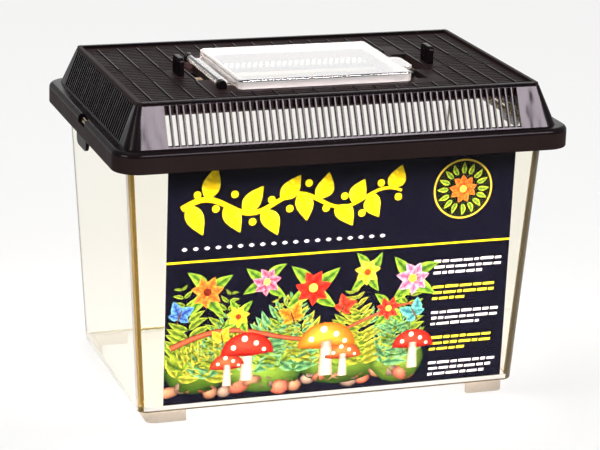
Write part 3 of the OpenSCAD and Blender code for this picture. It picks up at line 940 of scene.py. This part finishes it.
            self.toadstool(x, y, size, dark, light, 4)
        for x, y, r, dark, light, eye in (
                (-68, 58, 8.5, "#b8451c", "#f7a03a", "#5b1d10"),
                (-38, 61, 7.5, "#a8224a", "#f3a6bd", "#f5d25a"),
                (-14, 56, 9.5, "#b01212", "#f0402a", "#f7d94a"),
                (14, 62, 7.0, "#d0a010", "#fbe65a", "#8a3b12"),
                (38, 57, 9.0, "#8a3a6a", "#efc3d6", "#e8c33a"),
                (-52, 44, 6.0, "#cf9a12", "#fbe04a", "#7a2a12"),
                (26, 42, 6.5, "#a31414", "#ee5238", "#f3d24a")):
            self.posy(x, y, r, dark, light, eye, 3)
        for x, y, size, angle, dark, light in (
                (-82, 46, 9, 70, "#1c2f7a", "#6fb4f0"), (-24, 41, 9, 110, "#b04a0a", "#ffb03a"),
                (2, 44, 8, 60, "#8a1410", "#ff5a3a"), (40, 38, 9, 120, "#1c5a6a", "#7fe0d0"),
                (-60, 33, 7, 100, "#b8860a", "#ffe04a")):
            self.butterfly(x, y, size, angle, dark, light, 5)
        branch = [(-86 + 5.2 * k, 30 + 5.5 * math.sin(k * 0.33) + 0.35 * k) for k in range(25)]
        self.ribbon(branch, [3.4 - 2.2 * k / 24 for k in range(25)], "#4a1d10", "#b5583a", 3)

        # blocks of bars
        for k in range(5):
            self.bars(49, h - 62 - 13.6 * k, 36 - 3 * (k % 2), 3, "#f2f2f2" if k % 2 == 0 else "#e8dc3a", 1)

    def to_piece(self, name, place):
        """An object from all shapes, clipped to the card, each layer a little nearer to the pane."""
        bm = bmesh.new()
        layer = bm.loops.layers.float_color.new("ink")
        half, top = self.width / 2 - 0.05, self.height - 0.05
        for points, inks, level in self.shapes:
            depth = INK_DEPTH - INK_STEP * level
            clipped = [(min(max(u, -half), half), min(max(v, 0.1), top)) for u, v in points]
            face = bm.faces.new([bm.verts.new(place(u, v, depth)) for u, v in clipped])
            for loop, ink in zip(face.loops, inks):
                loop[layer] = ink
            face.normal_update()
            if face.normal.y > 0:
                face.normal_flip()
        flat = [f for f in bm.faces if f.calc_area() < 1e-4]
        bmesh.ops.delete(bm, geom=flat, context="FACES")
        bmesh.ops.scale(bm, verts=bm.verts, vec=(MM, MM, MM))
        return in_scene(name, bm)


def lid_black(finish):
    """The lid's black in one of its finishes, made once. The slopes' slender walls have sunk into shallow
    ripples. Dull is where the mould was left unpolished, so that it mirrors next to nothing. The last finish
    is a lighter brown painted on the edges behind the slots: painted light, standing in for the light that
    comes in through the slits."""
    s = bpy.context.scene.petkeeper_lid
    name = "Black polystyrene, " + finish
    # base and light colour, roughness, spread, grain in mm, bump, shine and wave in mm
    values = {
        "polished": (s.polished, "#1e1618", 0.2, 0.05, 0.35, 0.05, 0.02, 0.1),
        "slopes": (s.polished, "#1c1416", 0.17, 0.04, 0.35, 0.05, 0.06, 0.9),
        "grained": (s.grained, "#2c1f1e", 0.5, 0.06, 0.5, 0.4, 0.02, 0.03),
        "dull": ("#281e1f", "#352a28", 0.3, 0.05, 0.35, 0.05, 0.004, 0.1),
        # painted light: a lighter brown for the edges behind the slots, standing in for the light that the
        # slits let in
        "thin": ("#665350", "#7a645f", 0.4, 0.05, 0.35, 0.05, 0.02, 0.1),
    }[finish]
    return bpy.data.materials.get(name) or black_polystyrene(name, *values)


class BuildRim(bpy.types.Operator):
    """Skirt and ledge of the lid, with two windows, and the snap tabs"""

    bl_idname = "petkeeper.build_rim"
    bl_label = "Lid rim and snap tabs"

    def execute(self, context):
        black = lid_black("polished")
        ease = 0.35
        section = [(SKIRT_Z, ease), (SKIRT_Z + 0.1, 0.1), (SKIRT_Z + ease, 0.0)]
        section += quarter_round(LEDGE_Z, 0.0, -RIM_ROUND, 6)
        rings = inset_rings(section, LID_L, LID_W, LID_R)
        hole_l, hole_w = FOOT_L - 2 * SLOPE_T, FOOT_W - 2 * SLOPE_T
        rings += [(LEDGE_Z - 0.02, hole_l, hole_w, 2.0), (LEDGE_Z - LEDGE_T, hole_l, hole_w, 2.0)]
        inner = [(LEDGE_Z - LEDGE_T, SKIRT_T + 0.6), (LEDGE_Z - LEDGE_T - 0.6, SKIRT_T), (SKIRT_Z, SKIRT_T)]
        rings += inset_rings(inner, LID_L, LID_W, LID_R)
        rim = to_object("lid_skirt", loft(rings, closed=True, arc=14))
        window_w, window_h, window_l, y_tab = 12.8, 4.1, 5.6, (TABS_LOW[1] + TABS_HIGH[1]) / 2
        for side in (1, -1):
            cut(rim, loft([(z, window_l, window_w, 0.5) for z in (LEDGE_Z - window_h, LEDGE_Z + 2)],
                          arc=4, centre=(side * LID_L / 2, y_tab)))
        rim.data.materials.append(black)
        rim.data.materials.append(lid_black("dull"))
        for face in rim.data.polygons:
            face.material_index = int(abs(face.normal.z) < 0.1 and face.center.z < (LEDGE_Z - RIM_ROUND) * MM)
        piece(rim, "lid", black, "black_lid", "lid_rim")

        tab_w, drop, r = TABS_HIGH[1] - TABS_LOW[1], SKIRT_Z - TABS_LOW[2], 4.0
        half = tab_w / 2
        sag = [(-half, 0.0)] + arc_points(-half + r, -drop + r, r, 180, 270, 6)
        sag += arc_points(half - r, -drop + r, r, 270, 360, 6) + [(half, 0.0)]
        tongues = []
        for side in (1, -1):
            start = LID_L / 2 - SKIRT_T if side > 0 else -LID_L / 2
            bm = prism([(a + y_tab, b + SKIRT_Z + (0.3 if b == 0 else 0.0)) for a, b in sag],
                       SKIRT_T, "X", start)
            tongues.append(round_edges(bm, 0.3, 2, 50))
            ridge = [(0, -0.4), (-0.35, -1.0), (-0.35, -1.6), (0, -3.0)]
            ridge = [(side * (LID_L / 2 - SKIRT_T + a), b + SKIRT_Z) for a, b in ridge]
            tongues.append(prism(ridge, tab_w - 2 * r, "Y", y_tab - half + r))
        piece(to_object("lid_snap_tabs", joined(tongues)), "lid", black, "black_lid", "snap_tabs")
        return {"FINISHED"}


class BuildSlopes(bpy.types.Operator):
    """Four slopes of the lid, with the slats between their slots"""

    bl_idname = "petkeeper.build_slopes"
    bl_label = "Slotted slopes"

    def execute(self, context):
        s = context.scene.petkeeper_lid
        black = lid_black("slopes")
        foot_r, crest_r = s.corner_foot / MM, s.corner_crest / MM
        rise = CREST_Z - LEDGE_Z
        lean_l, lean_w = (FOOT_L - CREST_L) / 2 / rise, (FOOT_W - CREST_W) / 2 / rise
        slat_w = SLOT_PITCH - SLOT_W
        win_long, win_short = ((count * SLOT_PITCH - slat_w) / 2 for count in (SLOTS_LONG, SLOTS_SHORT))
        cuts = ((-win_long, win_long), (-win_short, win_short))

        def ring(z, inset, level=None):
            """The slopes' outline at height z, or straight up from the crest's inner edge."""
            at = z if level is None else level
            share = (at - LEDGE_Z) / rise
            length = FOOT_L - 2 * lean_l * (at - LEDGE_Z) - 2 * inset
            width = FOOT_W - 2 * lean_w * (at - LEDGE_Z) - 2 * inset
            radius = foot_r + (crest_r - foot_r) * share - inset
            return z, length, width, max(radius, 0.4)

        step_z, step = CREST_Z - 1.4, 0.35
        outside = [ring(LEDGE_Z, 0.0), ring(SLOT_LOW_Z, 0.0), ring(SLOT_HIGH_Z, 0.0)]
        crest = [ring(step_z - 0.1, 0.0), ring(step_z + 0.05, step, step_z),
                 ring(CREST_Z - 0.5, step, step_z), ring(CREST_Z - 0.15, step + 0.15, step_z),
                 ring(CREST_Z, step + 0.5, step_z), ring(CREST_Z, SLOPE_T - 0.3),
                 ring(CREST_Z - 0.3, SLOPE_T, CREST_Z)]
        inside = [ring(SLOT_HIGH_Z, SLOPE_T, CREST_Z), ring(TOP_UNDER_Z, SLOPE_T, CREST_Z),
                  ring(TOP_UNDER_Z, SLOPE_T), ring(SLOT_LOW_Z, SLOPE_T), ring(LEDGE_Z, SLOPE_T)]
        bm = bmesh.new()
        path = [add_ring(bm, *r, cuts=cuts) for r in outside + crest + inside]
        count = len(path[0])
        windows = [quarter * (count // 4) + 1 for quarter in range(4)]
        first_in = len(outside) + len(crest)
        open_steps = {1, first_in, first_in + 1, first_in + 2}
        for k, ring_verts in enumerate(path):
            after = path[(k + 1) % len(path)]
            bridge(bm, ring_verts, after, windows if k in open_steps else ())
        low, high, *inner = path[1:3] + path[first_in:first_in + 4]
        for i in windows:
            j = i + 1
            bm.faces.new((low[i], low[j], inner[3][j], inner[3][i]))
            bm.faces.new((high[i], high[j], inner[0][j], inner[0][i]))
            for c in (i, j):
                bm.faces.new([ring_verts[c] for ring_verts in (low, high, *inner)])
        bm.normal_update()
        for face in bm.faces:
            middle, normal = face.calc_center_median(), face.normal
            corner = abs(normal.y) > 0.02 and abs(normal.x) > max(0.25, 0.5 * abs(normal.y))
            above = middle.z > SLOT_HIGH_Z + 0.05
            at_end = abs(middle.x) > CREST_L / 2 - SLOPE_T - 0.5
            face.material_index = 2 if above and at_end else int(above or corner)
        walls = to_object("slope_walls", bm)
        for material in (black, lid_black("polished"), lid_black("dull")):
            walls.data.materials.append(material)
        piece(walls, "lid", black, "black_lid", "front_grille", "back_grille", "left_grille", "right_grille")

        # how far a slat's face lies behind the bands, how far its ends reach into them, and its rounding
        sink, bed, crown = 0.06, 0.3, 0.22

        def slat(foot, crest_half, lean):
            """A slat across the front slope, its crowned face a hair behind the bands that carry it."""

            def face(z):
                return -(foot - lean * (z - LEDGE_Z)) + sink

            def back(z):
                return -(foot - lean * (z - LEDGE_Z)) + SLOPE_T - 0.02

            low, high = SLOT_LOW_Z - bed, SLOT_HIGH_Z + bed
            edge = -(crest_half - SLOPE_T) - 0.02
            section = [(face(low), low), (back(low), low), (back(TOP_UNDER_Z), TOP_UNDER_Z),
                       (edge, TOP_UNDER_Z), (edge, high), (face(high), high)]
            bm = prism(section, slat_w, "X", -slat_w / 2)
            outer = [e for e in bm.edges if all(abs(v.co.y - face(v.co.z)) < 0.001 for v in e.verts)
                     and abs(e.verts[0].co.z - e.verts[1].co.z) > 1]
            bmesh.ops.bevel(bm, geom=outer, offset=crown, segments=4, profile=0.5, affect="EDGES")
            return bm

        parts = []
        sides = ((SLOTS_LONG, FOOT_W / 2, CREST_W / 2, lean_w),
                 (SLOTS_SHORT, FOOT_L / 2, CREST_L / 2, lean_l))
        for quarter in range(4):
            count, foot, crest_half, lean = sides[quarter % 2]
            a = quarter * math.pi / 2
            bar = slat(foot, crest_half, lean)
            bmesh.ops.rotate(bar, verts=bar.verts, matrix=Matrix.Rotation(a, 3, "Z"))
            step = (SLOT_PITCH * math.cos(a), SLOT_PITCH * math.sin(a), 0)
            first = tuple(-c * (count - 2) / 2 for c in step)
            parts.append((bar, count - 1, first, step))
        piece(rows("slope_slats", parts, black), "lid", black, "black_lid")
        return {"FINISHED"}


class BuildTop(bpy.types.Operator):
    """Slit top of the lid, with its ridges and the rows of studs that carry them on"""

    bl_idname = "petkeeper.build_top"
    bl_label = "Slit top"

    def execute(self, context):
        pitch_x, ridge_w, slit_w, slit_l, count = 10.28, 1.0, 1.2, 8.6, 9
        slits_y, margin = 53.0, 1.6
        block_x, reach = 6 * pitch_x, 4.6
        block_low, block_high = HATCH_Y - TRAY_W / 2 - reach, HATCH_Y + TRAY_W / 2 + reach
        post_x, post_y, post_l = POST_HIGH[0] - POST_T / 2, (POST_LOW[1] + POST_HIGH[1]) / 2, 12.5
        inset, half_w, half_l = 3.5, PORT_W / 2, PORT_L / 2
        # opening under the hatch, two holes to the right of it, and the ports
        holes = [(TRAY_X[0] + inset, HATCH_Y - TRAY_W / 2 + inset,
                  TRAY_X[1] - inset, HATCH_Y + TRAY_W / 2 - inset),
                 (47.8, -36.0, 53.0, -19.5), (47.8, 19.0, 50.8, 32.5)]
        holes += [(side * PORT_X - half_w, PORT_Y - half_l, side * PORT_X + half_w, PORT_Y + half_l)
                  for side in (1, -1)]
        end_l = TOP_L / 2 - count * pitch_x - ridge_w - margin
        end_x = count * pitch_x + ridge_w / 2 + 0.3 + end_l / 2
        rows_half = math.floor(slits_y / SLOT_PITCH)
        for row in range(-rows_half, rows_half + 1):
            y = row * SLOT_PITCH
            for cell in range(-count, count):
                x = (cell + 0.5) * pitch_x
                by_hatch = abs(x) < block_x and block_low < y < block_high
                by_post = abs(abs(x) - post_x) < pitch_x / 2 and abs(y - post_y) < post_l / 2 + 2
                if not (by_hatch or by_post):
                    holes.append((x - slit_l / 2, y - slit_w / 2, x + slit_l / 2, y + slit_w / 2))
            holes += [(side * end_x - end_l / 2, y - slit_w / 2, side * end_x + end_l / 2, y + slit_w / 2)
                      for side in (1, -1)]
        plate = perforated_plate(TOP_L / 2 - 0.02, TOP_W / 2 - 0.02, TOP_UNDER_Z, TOP_Z, holes)
        top = to_object("slit_top", plate, outward=False)
        piece(top, "lid", lid_black("grained"), "black_lid", "top_grille")

        lip_h, lip_t, lip_r = 1.3, 1.2, 1.0
        lip = loft([(TOP_UNDER_Z - z, TOP_L - 2 * d, TOP_W - 2 * d, lip_r) for z, d in (
            (lip_h, 0.05), (-0.1, 0.05), (-0.1, lip_t), (lip_h, lip_t))], closed=True, arc=4)
        lip_ring = to_object("top_lip", lip)
        piece(lip_ring, "lid", lid_black("dull"), "black_lid")
        # the outer edges of the top and its lip, seen through the slots, get the lighter brown finish:
        # painted light that stands in for the light the slots let in
        for obj in (top, lip_ring):
            obj.data.materials.append(lid_black("thin"))
            for face in obj.data.polygons:
                x, y = face.center.x / MM, face.center.y / MM
                outer = max(abs(x) - TOP_L / 2, abs(y) - TOP_W / 2) > -0.2
                face.material_index = int(outer and abs(face.normal.z) < 0.1)

        def ridge(length, width=ridge_w, height=RIDGE_H):
            """A ridge or a stud along Y, from its foot, narrower at its top."""
            foot, crown = width / 2, width / 2 * 0.6
            bar = prism([(-foot, -0.05), (foot, -0.05), (crown, height), (-crown, height)], length, "Y")
            return round_edges(bar, 0.12, 2, 40)

        # the ridges' ends: outside, at the studs, at the ports, and behind the hatch's right end
        reach_y, gap_low, gap_high, port_low, port_high, behind_hatch = 54.5, -17.3, 9.7, -20.0, 21.5, 22.8
        studs, stud_l = 8, 1.3
        parts = []
        for k in range(-count, count + 1):
            by_hatch, by_port = abs(k) < 6, abs(k) == 6
            front_end = block_low if by_hatch else port_low if by_port else gap_low
            back_end = block_high if by_hatch else port_high if by_port else gap_high
            if k == 5:
                back_end = behind_hatch
            for start, end in ((-reach_y, front_end), (back_end, reach_y)):
                parts.append((ridge(end - start), 1, (k * pitch_x, start, TOP_Z), (0, 0, 0)))
            if not (by_hatch or by_port):
                first = (gap_low + gap_high - (studs - 1) * SLOT_PITCH - stud_l) / 2
                stud = ridge(stud_l, 0.9, 0.5)
                parts.append((stud, studs, (k * pitch_x, first, TOP_Z), (0, SLOT_PITCH, 0)))
        for side in (1, -1):
            rail_x = side * (PORT_X + PORT_W / 2 + 0.55)
            parts.append((ridge(PORT_L, 1.1), 1, (rail_x, PORT_Y - PORT_L / 2, TOP_Z), (0, 0, 0)))
        shiny = lid_black("polished")
        piece(rows("top_ridges", parts, shiny), "lid", shiny, "black_lid")
        return {"FINISHED"}


def perforated_plate(half_x, half_y, low, high, holes):
    """A flat plate with rectangular holes (x0, y0, x1, y1) right through it."""
    xs = sorted({-half_x, half_x, *[round(v, 4) for h in holes for v in (h[0], h[2])]})
    ys = sorted({-half_y, half_y, *[round(v, 4) for h in holes for v in (h[1], h[3])]})
    solid = np.ones((len(xs) - 1, len(ys) - 1), bool)
    x_at, y_at = {v: i for i, v in enumerate(xs)}, {v: i for i, v in enumerate(ys)}
    for x0, y0, x1, y1 in holes:
        x0, y0, x1, y1 = (round(v, 4) for v in (x0, y0, x1, y1))
        solid[x_at[x0]:x_at[x1], y_at[y0]:y_at[y1]] = False
    bm = bmesh.new()
    made = {}

    def vert(i, j, z):
        if (i, j, z) not in made:
            made[i, j, z] = bm.verts.new((xs[i], ys[j], z))
        return made[i, j, z]

    padded = np.pad(solid, 1)
    for i in range(len(xs) - 1):
        for j in range(len(ys) - 1):
            if not solid[i, j]:
                continue
            corners = [(i, j), (i + 1, j), (i + 1, j + 1), (i, j + 1)]
            bm.faces.new([vert(a, b, high) for a, b in corners])
            bm.faces.new([vert(a, b, low) for a, b in corners[::-1]])
            for k, (di, dj) in enumerate(((0, -1), (1, 0), (0, 1), (-1, 0))):
                if not padded[i + 1 + di, j + 1 + dj]:
                    a, b = corners[k], corners[(k + 1) % 4]
                    bm.faces.new([vert(*a, low), vert(*b, low), vert(*b, high), vert(*a, high)])
    return bm


class BuildFittings(bpy.types.Operator):
    """Hinge knuckles, catches and posts round the hatch"""

    bl_idname = "petkeeper.build_fittings"
    bl_label = "Knuckles, catches and posts"

    def execute(self, context):
        black = lid_black("polished")
        bore, outer, length, skin = PIN_R + 0.08, 2.1, 4.4, 0.25
        knuckles = []
        for low in (KNUCKLE_LOW[1], KNUCKLE_HIGH[1] - length):
            arch = arc_points(HINGE_X, HINGE_Z, outer, 0, 180, 16)
            bm = prism([(HINGE_X + outer, TOP_Z), *arch, (HINGE_X - outer, TOP_Z)], length, "Y", low)
            knuckle = to_object("knuckle", round_edges(bm, 0.3, 2, 50))
            start = low + skin if low < HINGE_Y else low - 1
            cut(knuckle, prism(arc_points(HINGE_X, HINGE_Z, bore, 0, 345, 23), length + 1 - skin, "Y", start))
            knuckles.append(knuckle)
        whole = joined(knuckles)
        bmesh.ops.scale(whole, verts=whole.verts, vec=(1 / MM, 1 / MM, 1 / MM))
        piece(to_object("hinge_knuckles", whole), "lid", black, "black_lid", "hinge_brackets")

        catches = []
        x0, x1, tall, slant, depth = CATCH_LOW[0], CATCH_HIGH[0], CATCH_HIGH[2] - TOP_Z, 0.8, 9.0
        section = [(x0, TOP_Z), (x1, TOP_Z), (x1, TOP_Z + tall), (x0 + slant, TOP_Z + tall),
                   (x0, TOP_Z + tall - slant)]
        for y0 in (CATCH_LOW[1], CATCH_HIGH[1] - depth):
            catches.append(round_edges(prism(section, depth, "Y", y0), 0.3, 2, 30))
        piece(to_object("catch_blocks", joined(catches)), "lid", black, "black_lid", "hatch_catches")

        posts = []
        tall, r = POST_HIGH[2] - TOP_Z, 2.5
        y0, y1 = POST_LOW[1], POST_HIGH[1]
        face = [(y0, TOP_Z), (y1, TOP_Z)] + arc_points(y1 - r, TOP_Z + tall - r, r, 0, 90, 6)
        face += arc_points(y0 + r, TOP_Z + tall - r, r, 90, 180, 6)
        rib_w, rib_pitch, rib_t = 1.7, 2.9, 0.3
        for start in (POST_LOW[0], POST_HIGH[0] - POST_T):
            posts.append(round_edges(prism(face, POST_T - 2 * rib_t, "X", start + rib_t), 0.5, 2, 50))
            for k in range(4):
                y = (y0 + y1) / 2 + (k - 1.5) * rib_pitch
                rib = [(y - rib_w / 2, TOP_Z), (y + rib_w / 2, TOP_Z),
                       (y + rib_w / 2, TOP_Z + tall - 1.5), (y - rib_w / 2, TOP_Z + tall - 1.5)]
                posts.append(round_edges(prism(rib, POST_T, "X", start), 0.25, 2, 50))
        piece(to_object("lid_posts", joined(posts)), "lid", black, "black_lid", "handle_posts")
        return {"FINISHED"}


class BuildHatch(bpy.types.Operator):
    """Clear hatch: a shallow tray upside down, with its barrel, pins and thumb tongue in one"""

    bl_idname = "petkeeper.build_hatch"
    bl_label = "Clear hatch"

    def execute(self, context):
        length, width, corner, wall = TRAY_X[1] - TRAY_X[0], TRAY_W, 2.5, 1.7
        centre = ((TRAY_X[0] + TRAY_X[1]) / 2, HATCH_Y)
        rounding, fillet, top = 1.0, 0.8, TRAY_Z + TRAY_H
        shell = [(TRAY_Z, 0.15), (TRAY_Z + 0.15, 0.0), *quarter_round(top, 0.0, -rounding)]
        hatch = to_object("clear_hatch_lid", loft(inset_rings(shell, length, width, corner), centre=centre))
        hollow = inset_rings([(TRAY_Z - 1, wall)], length, width, corner)
        hollow += inset_rings(quarter_round(top - wall, wall, -fillet), length, width, corner, 1.0)
        cut(hatch, loft(hollow, centre=centre))

        barrel_l, pin_l, barrel_r, web_low, web_high = 53.0, 4.3, 1.7, HINGE_Z - 1.5, HINGE_Z - 0.1
        low = HINGE_Y - barrel_l / 2
        barrel = prism(arc_points(HINGE_X, HINGE_Z, barrel_r, 0, 348.75, 31), barrel_l, "Y", low)
        pin = prism(arc_points(HINGE_X, HINGE_Z, PIN_R, 5, 350, 23), barrel_l + 2 * pin_l, "Y", low - pin_l)
        web = prism([(HINGE_X, web_low), (TRAY_X[0] + wall / 2, web_low), (TRAY_X[0] + wall / 2, web_high),
                     (HINGE_X, web_high)], barrel_l - 0.4, "Y", low + 0.2)
        for part in (barrel, pin, web):
            cut(hatch, part, "UNION")

        tongue_w, tongue_t, r = 21.0, 1.4, 3.0
        x1, y0, y1 = HATCH_HIGH[0], HINGE_Y - tongue_w / 2, HINGE_Y + tongue_w / 2
        points = [(TRAY_X[1] - wall / 2, y0)] + arc_points(x1 - r, y0 + r, r, -90, 0, 6)
        points += arc_points(x1 - r, y1 - r, r, 0, 90, 6) + [(TRAY_X[1] - wall / 2, y1)]
        tongue = prism(points, tongue_t, "Z", TRAY_Z + 0.1)
        cut(hatch, round_edges(tongue, 0.3, 2, 50), "UNION")
        front = HATCH_LOW[1] + 3

        def look(normal, middle):
            """Colour and haze of a face of the hatch: its top and barrel are clear, and its walls are painted
            milky, the front one most, as painted light that stands in for the white that they mirror and let
            through.
            """
            if abs(normal.z) > 0.9 or middle.x < TRAY_X[0] - 1:
                return "#fefefc", 0.0
            if middle.y < front:
                return ("#f4f1ee", 0.4) if abs(normal.z) < 0.1 else ("#fefefc", 0.0)
            return "#e9e5e0", 0.2

        paint_faces(hatch, look)
        edge_tint = context.scene.petkeeper_tank.edge_tint
        clear = clear_polystyrene("Crystal polystyrene, hatch", edge_tint, 3.0, 1.0)
        piece(hatch, "hatch", clear, "clear_hatch", "hatch_cover")
        return {"FINISHED"}


class BuildStage(bpy.types.Operator):
    """White floor, soft lamps and the camera"""

    bl_idname = "petkeeper.build_stage"
    bl_label = "Stage"

    def execute(self, context):
        s = context.scene.petkeeper_stage
        scene = context.scene
        bm = bmesh.new()
        bmesh.ops.create_grid(bm, x_segments=1, y_segments=1, size=6000)
        floor = to_object("studio_floor", bm, outward=False)
        floor.data.materials.append(studio_floor())

        world = bpy.data.worlds.new("Soft white room")
        scene.world = world
        world.use_nodes = True
        tree = world.node_tree
        tree.nodes.clear()
        fill = add_node(tree, "ShaderNodeBackground", {"Color": (0.96, 0.98, 1.0, 1.0), "Strength": 0.62})
        white = add_node(tree, "ShaderNodeBackground", {"Color": (1.0, 1.0, 1.0, 1.0), "Strength": 1.0})
        mix = add_node(tree, "ShaderNodeMixShader", {
            0: seen_ray(tree), 1: fill.outputs[0], 2: white.outputs[0],
        })
        add_node(tree, "ShaderNodeOutputWorld", {0: mix.outputs[0]})

        rosy, plain = (1.0, 0.86, 0.97), (1.0, 1.0, 1.0)
        for lamp in (
                ("front_softbox", (0.42, -0.95, 0.78), 0.45, 0.45, 3.4, plain, False),
                ("top_softbox", (-0.25, 0.1, 1.05), 0.7, 0.5, 3.2, plain, False),
                ("front_gleam", (0.36, -0.92, 0.82), 0.62, 0.4, 60.0, rosy, True),
                ("left_gleam", (-1.0, -0.35, 0.55), 0.4, 0.4, 26.0, plain, True),
                ("rear_gleam", (0.36, 1.05, 0.43), 0.8, 0.34, 1.07, plain, True)):
            self.lamp(*lamp)
        self.camera(s)
        scene.view_settings.view_transform = "Standard"
        return {"FINISHED"}

    def lamp(self, name, place, width, height, power, colour, mirrored_only):
        """A soft lamp that looks at the keeper. It isn't seen itself, only its light and its reflection, or
        its reflection alone."""
        data = bpy.data.lights.new(name, "AREA")
        data.shape = "RECTANGLE"
        data.size, data.size_y, data.energy, data.color = width, height, power, colour
        lamp = linked(name, data)
        lamp.location = place
        aim = Vector((0.0, 0.0, 0.09)) - Vector(place)
        lamp.rotation_mode = "QUATERNION"
        lamp.rotation_quaternion = aim.to_track_quat("-Z", "Y")
        lamp.visible_camera = False
        lamp.visible_transmission = False
        lamp.visible_diffuse = not mirrored_only

    def camera(self, s):
        """The camera at the angle of the picture: placed round a target, rolled and panned a little."""
        target = Vector((0.0, 0.0, 0.0869))
        picture_w, sensor, pan_px, tilt_px = 600, 36.0, -1.042, -16.013
        focal_px = s.lens / sensor * picture_w
        pan, tilt = math.atan2(pan_px, focal_px), math.atan2(tilt_px, focal_px)
        back = Vector((math.sin(s.azimuth) * math.cos(s.elevation),
                       -math.cos(s.azimuth) * math.cos(s.elevation), math.sin(s.elevation)))
        right = (-back).cross(Vector((0, 0, 1))).normalized()
        up = right.cross(-back)
        c, n = math.cos(s.roll), math.sin(s.roll)
        right, up = c * right + n * up, c * up - n * right
        ahead = math.cos(pan) * -back - math.sin(pan) * right
        right = math.cos(pan) * right + math.sin(pan) * -back
        up, ahead = (math.cos(tilt) * up - math.sin(tilt) * ahead,
                     math.sin(tilt) * up + math.cos(tilt) * ahead)
        data = bpy.data.cameras.new("picture_camera")
        data.lens, data.sensor_width = s.lens, sensor
        data.clip_start, data.clip_end = 0.05, 50
        cam = linked("picture_camera", data)
        turn = Matrix((right, up, -ahead)).transposed()
        cam.matrix_world = Matrix.Translation(target + back * s.distance) @ turn.to_4x4()
        bpy.context.scene.camera = cam


class KeeperPanel(bpy.types.Panel):
    """Lists the steps that build the keeper"""

    bl_idname = "VIEW3D_PT_petkeeper"
    bl_label = "Pet keeper"
    bl_space_type = "VIEW_3D"
    bl_region_type = "UI"
    bl_category = "Pet keeper"

    def draw(self, context):
        for name, group in SETTINGS:
            box = self.layout.box()
            box.label(text=group.__doc__)
            for prop in group.__annotations__:
                box.prop(getattr(context.scene, name), prop)
        for step in STEPS:
            self.layout.operator(step.bl_idname)


SETTINGS = (
    ("petkeeper_tank", TankSettings),
    ("petkeeper_lid", LidSettings),
    ("petkeeper_card", CardSettings),
    ("petkeeper_stage", StageSettings),
)
STEPS = (BuildTank, BuildCard, BuildRim, BuildSlopes, BuildTop, BuildFittings, BuildHatch, BuildStage)


def register():
    for name, group in SETTINGS:
        bpy.utils.register_class(group)
        setattr(bpy.types.Scene, name, bpy.props.PointerProperty(type=group))
    for step in (*STEPS, KeeperPanel):
        bpy.utils.register_class(step)


def unregister():
    for step in reversed((*STEPS, KeeperPanel)):
        bpy.utils.unregister_class(step)
    for name, group in reversed(SETTINGS):
        delattr(bpy.types.Scene, name)
        bpy.utils.unregister_class(group)


def main():
    """Builds every piece in order."""
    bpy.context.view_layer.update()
    register()
    for step in STEPS:
        module, name = step.bl_idname.split(".")
        getattr(getattr(bpy.ops, module), name)()


if __name__ == "__main__":
    main()
